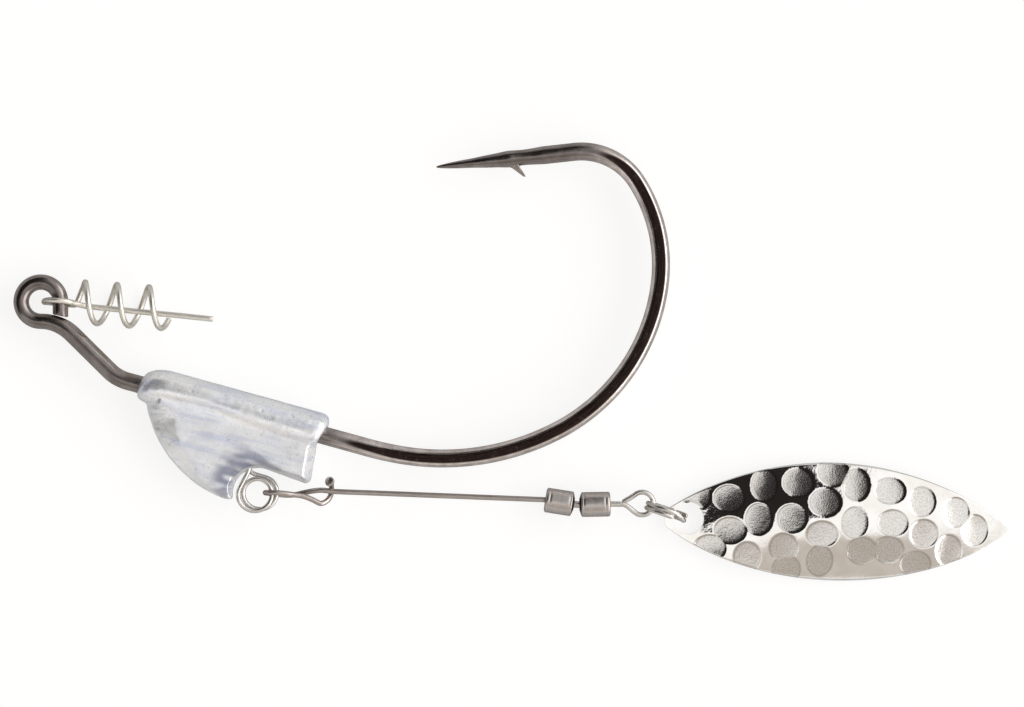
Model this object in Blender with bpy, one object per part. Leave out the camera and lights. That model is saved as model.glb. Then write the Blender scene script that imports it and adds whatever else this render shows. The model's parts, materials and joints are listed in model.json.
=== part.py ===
"""Weighted swimbait hook with an underspin blade, lying on its side.

Sizes are in millimetres and become metres when each piece is finished.
X runs from the line eye towards the blade, Y towards the hook point, Z up.
"""

import math

import bmesh
import bpy
from mathutils import Matrix, Vector

MM = 0.001

# Hook: one bent wire, eye first, point last
HOOK_WIRE = 1.87  # diameter of the bend
NECK_WIRE = 1.82
EYE_WIRE = 1.60
EYE_HOLE = 2.46  # clear diameter inside the eye
EYE_TAIL = 1.40  # straight end of the eye wire, from the eye's middle down to the neck
EYE_CUT_ANGLE = 78.0  # which way the cut end faces; it lies along the neck
NECK_TOP_BEND = (4.67, -44.67)  # radius, turn in degrees
NECK_LENGTH = 5.36
NECK_LOW_BEND = (4.30, 29.23)
SHANK_LENGTH = 25.96
BEND_ARCS = ((32.77, 6.59), (25.82, 36.53), (19.84, 55.36), (16.03, 39.33), (6.81, 63.91))
SPEAR_LENGTH = 14.35
FORGED_DEPTH = 1.60  # the bend is pressed flat to this depth
POINT_TAPER = ((11.2, 1.86), (9.3, 1.62), (8.3, 1.66), (7.45, 1.72), (6.2, 1.46), (4.95, 1.24),
               (3.7, 0.98), (2.45, 0.80), (1.2, 0.52), (0.35, 0.24), (0.0, 0.10))
BARB_SETBACK = 7.6  # from the point to the front of the barb
BARB_LENGTH = 1.6
BARB_RISE = 1.05
HOOK_SIDES = 12

# Keel weight: cast on the shank
WEIGHT_SETBACK = 1.06  # from the low neck bend to the weight's datum
SLEEVE_LENGTH = 20.2
SLEEVE_DEPTH = 4.90
SLEEVE_TOP = 2.22  # from the shank axis
SLEEVE_FLAT = 1.12  # how far the round would pass the side flats
KEEL_DROP = 9.05  # from the shank axis to the keel's lowest point
KEEL_TIP = 11.9  # along the shank
KEEL_FRONT = 1.50
KEEL_FRONT_SAG = 1.70
KEEL_TAIL = 20.0
KEEL_TAIL_DROP = 5.30
KEEL_FACE = 4.66  # depth of the keel at the shank axis
KEEL_TAPER = 0.24  # depth lost per millimetre of drop
KEEL_EDGE = 1.0  # depth of the keel at its rim
NOTCH_GAP = 0.62  # round the hanger loop

# Hanger loop: two turns of wire cast into the keel
HANGER_WIRE = 0.48
HANGER_RADIUS = 1.62
HANGER_AT = (15.16, -7.65)  # along the shank, up from the shank
HANGER_PITCH = 0.52
HANGER_DRIFT = (0.47, 0.15)
HANGER_MOUTH = (-1.06, 2.33)
HANGER_LEG = 2.6

# Centering pin spring on the line eye
SPRING_WIRE = 0.58
SPRING_RADIUS = 2.09
SPRING_PITCH = 3.32
SPRING_TURNS = 2.66
SPRING_START = 4.36
SPRING_RISE = (0.38, 0.028)
PIN_LENGTH = 17.9
SPRING_REST = -5.8
SPRING_SLACK = 0.58  # play between the loop and the eye wire

# Spinner arm
ARM_WIRE = 0.55
ARM_LENGTH = 29.7  # hanger centre to the swivel
ARM_REST = -2.28
ARM_OFFSET = 0.57
ARM_HEAD = 1.15

# Barrel swivel
BARREL_WIDTH = 2.58
BARREL_WALL = 0.30
FRONT_BARREL = 3.02
REAR_BARREL = 3.20
BARREL_SHOULDER = 0.28
BARREL_WAIST = 1.10
WAIST_GAP = 0.56
FRONT_REST = -9.0
LINK_REST = -3.5
REAR_REST = 1.0
LINK_SHAFT = 0.70
LINK_HEAD = 1.24
HEAD_THICK = 0.45
HEAD_GAP = 0.10  # between a head and the wall it bears on
BORE_PLAY = 0.17  # round a shaft, so that it can lean
SWIVEL_LIFT = 0.70  # held off the table by the ring and the arm

# Swivel eye
LOOP_WIRE = 0.52
LOOP_RADIUS = 1.18
LOOP_REACH = 3.30  # rear barrel to the loop's centre
STEM_WIRE = 0.58

# Split ring
RING_OUTSIDE = 4.56
RING_WIRE = 0.48
RING_REST = -18.6
RING_RAMP = 50.0
RING_SEAM = 20.0

# Willow leaf blade
BLADE_WIDTH = 12.26
BLADE_HALF = 18.40  # half the leaf's length, point to point
BLADE_POWER = 0.85  # 1 is a parabola, less makes blunter points
BLADE_SET = 0.82  # hole to the widest place, as a share of the half length
BLADE_THICK = 0.40
BLADE_HOLE = 3.15
BLADE_RIM = 0.95  # hole to the rounded end
BLADE_END = 2.40  # radius of that end
BLADE_BOW = 0.26  # the leaf's middle line bows this far to one side
BLADE_DOME = 1.90
BLADE_REST = -2.1
RIM_SHIFT = 0.97  # past the ring's middle

FIT = 0.03  # gap round anything cast in or threaded through

HOOK_Z = SLEEVE_DEPTH / 2
SWIVEL_Z = BARREL_WIDTH / 2 + SWIVEL_LIFT
EYE_RADIUS = (EYE_HOLE + EYE_WIRE) / 2


def reset():
    for item in list(bpy.data.objects):
        bpy.data.objects.remove(item, do_unlink=True)


def material(name, colour, rough, metal):
    made = bpy.data.materials.new(name)
    made.use_nodes = True
    shader = made.node_tree.nodes["Principled BSDF"]
    shader.inputs["Base Color"].default_value = (*colour, 1.0)
    shader.inputs["Roughness"].default_value = rough
    shader.inputs["Metallic"].default_value = metal
    return made


def finish(bm, name, at, look, keep=None):
    """Turn a millimetre bmesh into a metre object whose origin is at `at`."""
    bmesh.ops.remove_doubles(bm, verts=bm.verts, dist=0.0005)
    bmesh.ops.recalc_face_normals(bm, faces=bm.faces)
    bmesh.ops.scale(bm, vec=(MM, MM, MM), verts=bm.verts)
    mesh = bpy.data.meshes.new(name)
    bm.to_mesh(mesh)
    bm.free()
    mesh.shade_smooth()
    mesh.set_sharp_from_angle(angle=math.radians(38))
    if look is not None:
        mesh.materials.append(look)
    item = bpy.data.objects.new(name, mesh)
    item.location = Vector(at) * MM
    bpy.context.scene.collection.objects.link(item)
    if look is None:
        item.hide_render = True
        item.display_type = "WIRE"
    return item


def boolean(item, cutter, how):
    step = item.modifiers.new(how.title(), "BOOLEAN")
    step.operation = how
    step.solver = "EXACT"
    step.object = cutter


def heading(degrees):
    turn = math.radians(degrees)
    return Vector((math.cos(turn), math.sin(turn), 0))


def arc(place, facing, radius, turn, steps):
    """Stations on an arc that starts at place and faces `facing` degrees."""
    side = math.copysign(1, turn)
    centre = place + heading(facing + 90 * side) * radius
    out = []
    for i in range(1, steps + 1):
        now = facing + turn * i / steps
        out.append((centre - heading(now + 90 * side) * radius, now))
    return out


def hook_stations():
    """(place, facing, width, forged) down the hook wire, in the hook's plane."""
    out = []
    start = Vector((EYE_RADIUS, 0, 0))
    out.append((start - Vector((0, EYE_TAIL, 0)), EYE_CUT_ANGLE, EYE_WIRE, 0))
    out.append((start, 90, EYE_WIRE, 0))
    for p, f in arc(start, 90, EYE_RADIUS, 270, 27):
        out.append((p, f, EYE_WIRE, 0))
    place = out[-1][0]
    facing = 0.0
    steps = 6
    for i, (p, f) in enumerate(arc(place, facing, *NECK_TOP_BEND, steps)):
        out.append((p, f, EYE_WIRE + (NECK_WIRE - EYE_WIRE) * (i + 1) / steps, 0))
    place = out[-1][0]
    facing = out[-1][1]
    place = place + heading(facing) * NECK_LENGTH
    out.append((place, facing, NECK_WIRE, 0))
    for p, f in arc(place, facing, *NECK_LOW_BEND, 5):
        out.append((p, f, NECK_WIRE, 0))
    place = out[-1][0]
    facing = out[-1][1]
    out.append((place + heading(facing) * SHANK_LENGTH * 0.15, facing, HOOK_WIRE, 0))
    place = place + heading(facing) * SHANK_LENGTH
    out.append((place, facing, HOOK_WIRE, 0.0))
    last = len(BEND_ARCS) - 1
    for n, (radius, turn) in enumerate(BEND_ARCS):
        steps = max(3, round(turn / 6.0))
        for i, (p, f) in enumerate(arc(place, facing, radius, turn, steps)):
            forged = 1.0
            if n == 0:
                forged = (i + 1) / steps
            if n == last:
                forged = 1 - (i + 1) / steps
            out.append((p, f, HOOK_WIRE, forged))
        place = out[-1][0]
        facing = out[-1][1]
    for left, width in POINT_TAPER:
        width = width * HOOK_WIRE / 1.87
        out.append((place + heading(facing) * (SPEAR_LENGTH - left), facing, width, 0))
    return out


def shank_frame():
    """Matrix of the weight: x along the shank, y up from it, z out of its side."""
    place = Vector((0, -EYE_RADIUS, 0))
    place, facing = arc(place, 0.0, *NECK_TOP_BEND, 1)[0]
    place = place + heading(facing) * NECK_LENGTH
    place, facing = arc(place, facing, *NECK_LOW_BEND, 1)[0]
    place = place + heading(facing) * WEIGHT_SETBACK
    turn = Matrix.Rotation(math.radians(facing), 4, "Z")
    return Matrix.Translation(place) @ turn


def sweep_rings(bm, mats, sides):
    """Extrude one ring of edges from station to station, closed at both ends."""
    first = bmesh.ops.create_circle(bm, cap_ends=True, radius=1.0, segments=sides, matrix=mats[0])
    verts = first["verts"]
    edges = [e for e in bm.edges if e.verts[0] in verts and e.verts[1] in verts]
    rings = [list(verts)]
    for before, after in zip(mats, mats[1:]):
        grown = bmesh.ops.extrude_edge_only(bm, edges=edges)["geom"]
        verts = [g for g in grown if isinstance(g, bmesh.types.BMVert)]
        edges = [g for g in grown if isinstance(g, bmesh.types.BMEdge)]
        ring = set(verts)
        edges = [e for e in edges if e.verts[0] in ring and e.verts[1] in ring]
        bmesh.ops.transform(bm, matrix=after @ before.inverted(), verts=verts)
        rings.append(verts)
    bmesh.ops.edgeloop_fill(bm, edges=edges)
    return rings


def hook_mesh(extra=0.0, stations=None):
    bm = bmesh.new()
    stations = stations or hook_stations()
    mats = []
    for place, facing, width, forged in stations:
        turn = Matrix.Rotation(math.radians(facing), 4, "Z") @ Matrix.Rotation(math.pi / 2, 4, "Y")
        size = width / 2 + extra
        mats.append(Matrix.Translation(place) @ turn @ Matrix.Diagonal((size, size, size, 1)))
    rings = sweep_rings(bm, mats, HOOK_SIDES)
    for ring, (place, facing, width, forged) in zip(rings, stations):
        full = width / 2
        limit = full + (FORGED_DEPTH / 2 - full) * forged
        if forged > 0:
            for v in ring:
                v.co.z = max(-limit, min(limit, v.co.z))
    return bm


def wire(bm, points, widths, sides=8, spin=0.0):
    """A round wire through the points; widths is one diameter or one for each."""
    points = [Vector(p) for p in points]
    if not isinstance(widths, (list, tuple)):
        widths = [widths] * len(points)
    lines = []
    for i in range(len(points)):
        a = points[max(i - 1, 0)]
        b = points[min(i + 1, len(points) - 1)]
        lines.append((b - a).normalized())
    turn = Vector((0, 0, 1)).rotation_difference(lines[0]).to_matrix()
    turn = turn @ Matrix.Rotation(spin, 3, "Z")
    mats = []
    for i, p in enumerate(points):
        if i:
            turn = lines[i - 1].rotation_difference(lines[i]).to_matrix() @ turn
        size = widths[i] / 2
        mats.append(
            Matrix.Translation(p) @ turn.to_4x4() @ Matrix.Diagonal((size, size, size, 1))
        )
    sweep_rings(bm, mats, sides)


def smooth_path(points, per):
    """Catmull-Rom through the points, `per` stations to each span."""
    points = [Vector(p) for p in points]
    first = points[0] * 2 - points[1]
    last = points[-1] * 2 - points[-2]
    chain = [first] + points + [last]
    out = []
    for i in range(1, len(chain) - 2):
        p0, p1, p2, p3 = chain[i - 1: i + 3]
        for k in range(per):
            t = k / per
            a = p1 * 2
            b = (p2 - p0) * t
            c = (p0 * 2 - p1 * 5 + p2 * 4 - p3) * t * t
            d = (p1 * 3 - p0 - p2 * 3 + p3) * t * t * t
            out.append((a + b + c + d) * 0.5)
    out.append(points[-1])
    return out


def lathe(bm, profile, axis=(1, 0, 0), segments=24):
    """Spin a closed (along, radius) profile round the x axis."""
    verts = [bm.verts.new((x, r, 0)) for x, r in profile]
    edges = [bm.edges.new((verts[i], verts[(i + 1) % len(verts)])) for i in range(len(verts))]
    bmesh.ops.spin(bm, geom=verts + edges, cent=(0, 0, 0), axis=axis, dvec=(0, 0, 0),
                   angle=math.tau, steps=segments, use_merge=True, use_duplicate=False)


def solid_lathe(bm, profile, matrix, segments=16):
    """A solid of revolution from an open profile that starts and ends on the x axis."""
    before = set(bm.verts)
    verts = [bm.verts.new((x, r, 0)) for x, r in profile]
    edges = [bm.edges.new((verts[i], verts[i + 1])) for i in range(len(verts) - 1)]
    bmesh.ops.spin(bm, geom=verts + edges, cent=(0, 0, 0), axis=(1, 0, 0), dvec=(0, 0, 0),
                   angle=math.tau, steps=segments, use_merge=True, use_duplicate=False)
    grown = [v for v in bm.verts if v not in before]
    bmesh.ops.remove_doubles(bm, verts=grown, dist=0.0005)
    grown = [v for v in bm.verts if v not in before]
    bmesh.ops.transform(bm, matrix=matrix, verts=grown)


def barb_mesh(stations):
    """A sliver raised from the spear's inner side, pointing back at the bend."""
    tip = stations[-1][0]
    back = -heading(stations[-1][1])
    down = Vector((back.y, -back.x, 0))
    half = HOOK_WIRE * 0.44
    root = tip + back * BARB_SETBACK + down * half * 0.55
    rear = tip + back * (BARB_SETBACK + BARB_LENGTH * 0.62) + down * half * 0.35
    end = tip + back * (BARB_SETBACK + BARB_LENGTH) + down * (half + BARB_RISE)
    bm = bmesh.new()
    wide = HOOK_WIRE * 0.20
    base = []
    for p, z in ((root, -wide), (root, wide), (rear, wide * 1.3), (rear, -wide * 1.3)):
        base.append(bm.verts.new(p + Vector((0, 0, z))))
    face = bm.faces.new(base)
    grown = bmesh.ops.extrude_face_region(bm, geom=[face])["geom"]
    top = [g for g in grown if isinstance(g, bmesh.types.BMVert)]
    middle = (root + rear) / 2
    bmesh.ops.translate(bm, vec=end - middle, verts=top)
    for v in top:
        v.co = end + (v.co - end) * 0.16
    return bm


def sleeve_mesh(frame):
    """The round upper half of the weight, flat on both sides, round the shank."""
    bm = bmesh.new()
    depth = SLEEVE_DEPTH / 2
    tail = SLEEVE_LENGTH
    spans = (
        (0.30, -0.28, 0.80, 0.42), (0.42, -0.25, 1.12, 0.58), (0.80, -0.05, 1.52, 0.76),
        (1.45, 0.10, 1.80, 0.90), (2.40, 0.22, 1.94, 0.975), (3.20, 0.25, SLEEVE_TOP - 0.25, 1.0),
        (7.70, 0.42, SLEEVE_TOP - 0.42, 1.0), (12.2, 0.12, SLEEVE_TOP - 0.12, 1.0),
        (tail - 0.75, -0.10, SLEEVE_TOP + 0.10, 1.0), (tail - 0.25, -0.06, SLEEVE_TOP - 0.10, 0.95),
        (tail, 0.0, SLEEVE_TOP - 0.55, 0.80),
    )
    sides = 24
    first = bmesh.ops.create_circle(bm, cap_ends=True, radius=1.0, segments=sides,
                                    matrix=Matrix.Rotation(math.pi / 2, 4, "Y"))
    base = [v.co.copy() for v in first["verts"]]
    verts = list(first["verts"])
    edges = [e for e in bm.edges]
    for n, (u, mid, high, deep) in enumerate(spans):
        if n:
            grown = bmesh.ops.extrude_edge_only(bm, edges=edges)["geom"]
            verts = [g for g in grown if isinstance(g, bmesh.types.BMVert)]
            ring = set(verts)
            edges = [g for g in grown if isinstance(g, bmesh.types.BMEdge)]
            edges = [e for e in edges if e.verts[0] in ring and e.verts[1] in ring]
        for v, way in zip(verts, base):
            y = mid + high * way.y
            z = way.z * SLEEVE_FLAT
            z = max(-1.0, min(1.0, z)) * depth * deep
            lean = 0.34 * min(0.0, y - 0.9) if n >= len(spans) - 3 else 0.0
            v.co = Vector((u + lean, y, z))
    bmesh.ops.edgeloop_fill(bm, edges=edges)
    bmesh.ops.transform(bm, matrix=frame, verts=bm.verts)
    return bm


def keel_outline():
    """(place, rim width) round the keel, nose to tail, in the weight's frame."""
    out = []
    a = Vector((KEEL_FRONT, -1.75))
    b = Vector((KEEL_TIP, -KEEL_DROP))
    chord = b - a
    radius = chord.length ** 2 / (8 * KEEL_FRONT_SAG) + KEEL_FRONT_SAG / 2
    across = Vector((chord.y, -chord.x)).normalized()
    centre = (a + b) / 2 + across * (KEEL_FRONT_SAG - radius)
    start = math.atan2(a.y - centre.y, a.x - centre.x)
    end = math.atan2(b.y - centre.y, b.x - centre.x)
    if start < 0:
        start += math.tau
    if end < 0:
        end += math.tau
    out.append((Vector((KEEL_FRONT + 0.45, -0.75)), 0.9))
    for i in range(11):
        way = start + (end - start) * i / 10
        p = centre + Vector((math.cos(way), math.sin(way))) * radius
        out.append((p, min(1.0 + math.sin(math.pi * min(1.0, (i + 1) / 8)), 0.20 + 0.23 * (10 - i))))
    notch = HANGER_RADIUS + HANGER_WIRE / 2 + NOTCH_GAP + abs(HANGER_DRIFT[0]) / 2
    middle = Vector(HANGER_AT)
    low = middle + Vector((math.cos(math.radians(204)), math.sin(math.radians(204)))) * notch
    out.append((Vector((low.x - 0.12, -KEEL_DROP + 0.10)), 0.12))
    for i in range(10):
        way = math.radians(204 - 112 * i / 9)
        p = middle + Vector((math.cos(way), math.sin(way))) * notch
        out.append((p, min(0.55, 0.15 + 0.20 * i)))
    out.append((Vector((KEEL_TAIL - 0.45, -KEEL_TAIL_DROP)), 0.8))
    out.append((Vector((KEEL_TAIL, -KEEL_TAIL_DROP + 0.35)), 0.9))
    out.append((Vector((KEEL_TAIL - 0.42, -1.0)), 0.8))
    out.append((Vector((KEEL_TAIL - 0.60, 0.2)), 0.6))
    out.append((Vector((KEEL_FRONT + 1.6, 0.2)), 0.6))
    return out


def keel_depth(y):
    return (KEEL_FACE + KEEL_TAPER * y) / 2


def keel_mesh(frame):
    """The plate under the sleeve, bevelled all round, thinner towards its edge."""
    bm = bmesh.new()
    outline = keel_outline()
    count = len(outline)
    verts = [bm.verts.new((p.x, p.y, -KEEL_EDGE / 2)) for p, w in outline]
    rim = bm.faces.new(verts)
    inner = []
    for i, (p, w) in enumerate(outline):
        before = outline[i - 1][0]
        after = outline[(i + 1) % count][0]
        line = (after - before).normalized()
        inner.append(p + Vector((-line.y, line.x)) * w)
    grown = bmesh.ops.extrude_face_region(bm, geom=[rim])["geom"]
    low = [g for g in grown if isinstance(g, bmesh.types.BMVert)]
    for v, q in zip(match(low, verts), inner):
        v.co = Vector((q.x, q.y, -keel_depth(q.y)))
    for f in [f for f in bm.faces if len(f.verts) == count]:
        if all(abs(v.co.z + KEEL_EDGE / 2) < 1e-6 for v in f.verts):
            bm.faces.remove(f)
    made = bmesh.ops.duplicate(bm, geom=bm.verts[:] + bm.edges[:] + bm.faces[:])["geom"]
    other = [g for g in made if isinstance(g, bmesh.types.BMVert)]
    bmesh.ops.scale(bm, vec=(1, 1, -1), verts=other)
    open_edges = [e for e in bm.edges if e.is_boundary]
    bmesh.ops.bridge_loops(bm, edges=open_edges)
    bmesh.ops.transform(bm, matrix=frame, verts=bm.verts)
    return bm


def match(grown, base):
    """The grown vertices in the order of the base ones they were extruded from."""
    left = list(grown)
    out = []
    for b in base:
        near = min(left, key=lambda v: (v.co - b.co).length)
        left.remove(near)
        out.append(near)
    return out


def hanger_path():
    """Leg, two turns, leg, about the hanger's centre."""
    up = Vector((math.sin(math.radians(15.43)), math.cos(math.radians(15.43)), 0))
    start, end = 154.0, 790.0
    deep = HANGER_PITCH * (end - start) / 720
    mouth = Vector((*HANGER_MOUTH, 0))
    front = Vector((0, 0, deep))
    out = [mouth + up * HANGER_LEG + front, mouth + up * HANGER_LEG / 2 + front, mouth + front]
    turns = 24
    for i in range(turns + 1):
        way = start + (end - start) * i / turns
        along = (way - start) / 360
        middle = Vector((HANGER_DRIFT[0] * (along - 1.07), HANGER_DRIFT[1] * (along - 1.07), 0))
        p = middle + heading(way) * HANGER_RADIUS
        p.z = deep - HANGER_PITCH * along
        out.append(p)
    out.append(mouth - front + Vector((0.12, 0, 0)))
    out.append(mouth + up * HANGER_LEG / 2 - front + Vector((0.12, 0, 0)))
    out.append(mouth + up * HANGER_LEG - front + Vector((0.12, 0, 0)))
    return smooth_path(out, 2)


def spring_path():
    """Pin from its tip to the eye, round the eye wire, then the coil."""
    deep = (EYE_WIRE + SPRING_WIRE) / 2 + 0.08
    near = EYE_RADIUS - EYE_WIRE / 2 - SPRING_SLACK - SPRING_WIRE / 2
    over = EYE_RADIUS
    out = [(PIN_LENGTH, 0, 0), (PIN_LENGTH * 0.6, 0, 0), (5.2, 0, 0), (4.5, 0.03, 0.03)]
    out += [(over + 1.65, 0.16, 0.30), (over + 0.95, 0.29, deep * 0.76), (over, 0.30, deep)]
    out += [(near + 0.72, 0.27, deep * 0.88), (near + 0.16, 0.14, deep * 0.48), (near, 0, 0)]
    out += [(near + 0.16, 0, -deep * 0.48), (near + 0.72, 0, -deep * 0.88), (over, 0, -deep)]
    out += [(over + 0.95, 0, -deep * 0.80), (over + 1.50, 0.12, -0.86)]
    lead = SPRING_START - (over + 1.50)
    for way, share in ((-62, 0.58), (-32, 0.81)):
        r = SPRING_RADIUS * share
        turn = math.radians(way)
        x = SPRING_START - lead * (-way / 90)
        out.append((x, SPRING_RISE[0] + r * math.cos(turn), r * math.sin(turn)))
    steps = round(SPRING_TURNS * 12)
    for i in range(steps + 1):
        turn = math.tau * SPRING_TURNS * i / steps
        along = SPRING_PITCH * turn / math.tau
        x = SPRING_START + along
        y = SPRING_RISE[0] + SPRING_RISE[1] * along + SPRING_RADIUS * math.cos(turn)
        out.append((x, y, SPRING_RADIUS * math.sin(turn)))
    return smooth_path(out, 2)


def arm_loop():
    """The arm's bent end: free tip, kink, round the hanger, back to the shaft."""
    reach = HANGER_PITCH * 0.72 + (HANGER_WIRE + ARM_WIRE) / 2 + 0.12
    inner = HANGER_RADIUS - HANGER_WIRE / 2 - HANGER_DRIFT[0] / 2 - ARM_WIRE / 2 - 0.19
    w = ARM_WIRE + 0.04
    free = [(7.24, 1.62, w * 0.85), (7.40, 1.52, 0.08), (7.46, 1.15, -w * 0.62)]
    free += [(7.48, 0.72, -w * 1.05), (7.45, 0.235, -w), (7.16, -0.348, -w * 0.45)]
    free += [(6.47, -0.72, 0.10), (5.60, -0.358, 0.26), (4.65, -0.033, 0.38)]
    free += [(3.60, 0.10, reach * 0.60), (2.80, 0.19, reach * 0.86), (1.95, 0.25, reach)]
    free += [(1.25, 0.25, reach * 0.90), (inner + 0.10, 0.20, reach * 0.48), (inner, 0.16, 0)]
    free += [(inner + 0.10, 0.12, -reach * 0.48), (1.25, 0.06, -reach * 0.90)]
    free += [(1.95, 0.0, -reach), (2.80, -0.05, -reach * 0.84), (3.72, 0.05, -reach * 0.56)]
    free += [(4.75, 0.334, -0.34), (5.70, 0.55, -0.16), (6.60, ARM_OFFSET + 0.08, -0.03)]
    free += [(7.95, ARM_OFFSET, 0.0)]
    return smooth_path(free, 2)


def arm_mesh():
    bm = bmesh.new()
    start = arm_loop()
    end = ARM_LENGTH + BARREL_WALL + HEAD_GAP
    points = start + [Vector((ARM_LENGTH * 0.6, ARM_OFFSET, 0))]
    widths = [ARM_WIRE * 1.12, ARM_WIRE * 1.06] + [ARM_WIRE] * (len(points) - 2)
    for x, d in ((end, ARM_WIRE), (end + 0.02, ARM_HEAD * 0.8), (end + 0.08, ARM_HEAD),
                 (end + HEAD_THICK - 0.1, ARM_HEAD), (end + HEAD_THICK, ARM_HEAD * 0.75)):
        points.append(Vector((x, ARM_OFFSET, 0)))
        widths.append(d)
    wire(bm, points, widths)
    return bm


def barrel_mesh(length, flat_bore, waist_bore, flip):
    """Open shell: flat outer end at x = 0, crimped shoulder at the waist end."""
    bm = bmesh.new()
    r = BARREL_WIDTH / 2
    cave = r - BARREL_WALL
    w = BARREL_WALL
    s = BARREL_SHOULDER
    profile = [
        (0.0, flat_bore), (0.0, r - 0.26), (0.05, r - 0.20), (0.10, r - 0.06), (0.18, r),
        (length - s, r), (length - s * 0.72, r - 0.05), (length, BARREL_WAIST / 2 + 0.08),
        (length, waist_bore), (length - w, waist_bore), (length - s - w * 0.8, cave),
        (w, cave), (w, flat_bore),
    ]
    if flip:
        profile = [(length - x, d) for x, d in profile]
    lathe(bm, profile)
    return bm


def link_mesh():
    """Pin with a head inside each barrel; x = 0 is the front barrel's waist end."""
    bm = bmesh.new()
    r = LINK_SHAFT / 2
    head = LINK_HEAD / 2
    into = BARREL_WALL + HEAD_GAP
    a = -into
    b = WAIST_GAP + into
    t = HEAD_THICK
    profile = [(a - t, 0), (a - t, head * 0.8), (a - t * 0.8, head), (a - t * 0.2, head),
               (a, head * 0.82), (a, r), (b, r), (b, head * 0.82), (b + t * 0.2, head),
               (b + t * 0.8, head), (b + t, head * 0.8), (b + t, 0)]
    solid_lathe(bm, profile, Matrix.Identity(4))
    return bm


def eye_mesh():
    """Head, stem and teardrop loop; x = 0 is the rear barrel's outer end."""
    bm = bmesh.new()
    into = BARREL_WALL + HEAD_GAP
    head = LINK_HEAD / 2
    points = []
    widths = []
    for x, d in ((-into - HEAD_THICK, head * 1.6), (-into - HEAD_THICK * 0.8, head * 2),
                 (-into - HEAD_THICK * 0.2, head * 2), (-into - 0.02, head * 1.6),
                 (-into, STEM_WIRE), (0.30, STEM_WIRE)):
        points.append(Vector((x, 0, 0)))
        widths.append(d)
    corner = LOOP_REACH - LOOP_RADIUS * 1.48
    loop = [Vector((0.75, -0.02, 0)), Vector((corner, -0.12, 0))]
    spread = 48.0
    for i in range(23):
        way = 180 + spread + (360 - 2 * spread) * i / 22
        loop.append(Vector((LOOP_REACH, 0, 0)) + heading(way) * LOOP_RADIUS)
    last = Vector((corner + LOOP_WIRE * 0.55, LOOP_WIRE * 0.80 + 0.02, 0))
    loop.append(last)
    bend = smooth_path(loop[:4], 2)[:-1]
    points += bend[:-1]
    widths += [STEM_WIRE * 0.96, STEM_WIRE * 0.90] + [LOOP_WIRE] * (len(bend) - 3)
    points += loop[3:]
    widths += [LOOP_WIRE] * (len(loop) - 3)
    wire(bm, points, widths)
    return bm


def ring_place():
    """The ring's middle, and the blade rim it carries, in the ring's own frame."""
    outer = RING_OUTSIDE / 2
    inside = outer - RING_WIRE
    high = outer - SWIVEL_Z
    side = (RING_WIRE + FIT) / 2
    hug = inside - LOOP_WIRE / 2 - FIT
    eye = math.sqrt(LOOP_RADIUS ** 2 - side ** 2)
    middle = eye + math.sqrt(hug ** 2 - high ** 2) * 0.985
    hole = BLADE_HOLE / 2
    far = side + RING_WIRE / 2
    sag = hole - math.sqrt(hole ** 2 - far ** 2)
    lift = outer - math.sqrt((inside - FIT) ** 2 - (RIM_SHIFT + sag) ** 2)
    return middle, high, lift, middle + RIM_SHIFT + hole


def ring_mesh():
    bm = bmesh.new()
    middle, high, lift, far = ring_place()
    r = (RING_OUTSIDE - RING_WIRE) / 2
    side = (RING_WIRE + FIT) / 2
    points = []
    total = 720 - RING_RAMP
    steps = 54
    for i in range(steps + 1):
        way = RING_RAMP + total * i / steps
        share = (way - 360) / RING_RAMP
        share = max(0.0, min(1.0, share))
        share = share * share * (3 - 2 * share)
        turn = math.radians(way + RING_SEAM)
        points.append((middle + r * math.cos(turn), side * (2 * share - 1),
                       high + r * math.sin(turn)))
    wire(bm, points, RING_WIRE)
    return bm


def blade_edge(x):
    """Half width of the blade, x measured from the hole."""
    along = (x - BLADE_HALF * BLADE_SET) / BLADE_HALF
    leaf = BLADE_WIDTH / 2 * max(0.0, 1 - along * along) ** BLADE_POWER
    into = x + BLADE_HOLE / 2 + BLADE_RIM
    if into < BLADE_END:
        leaf = min(leaf, math.sqrt(max(0.0, BLADE_END ** 2 - (BLADE_END - into) ** 2)))
    return leaf


def blade_reach():
    return BLADE_HALF * (1 + BLADE_SET)


def blade_middle(x):
    """Where the leaf's middle line lies, x measured from the hole."""
    return BLADE_BOW * max(0.0, math.sin(math.pi * x / blade_reach()))


def blade_level(x, y, lift):
    """Height of the blade's underside, y measured from its middle line."""
    end = BLADE_HOLE / 2 + BLADE_RIM
    reach = blade_reach()
    base = lift * (reach - x) / (reach + end)
    begin = end * 0.8
    span = (reach - begin) / 2
    along = (x - begin - span) / span
    across = y / (BLADE_WIDTH / 2)
    dome = max(0.0, 1 - along * along) ** 1.25 * max(0.0, 1 - across * across)
    return base + BLADE_DOME * (dome if x > begin else 0.0)


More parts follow.
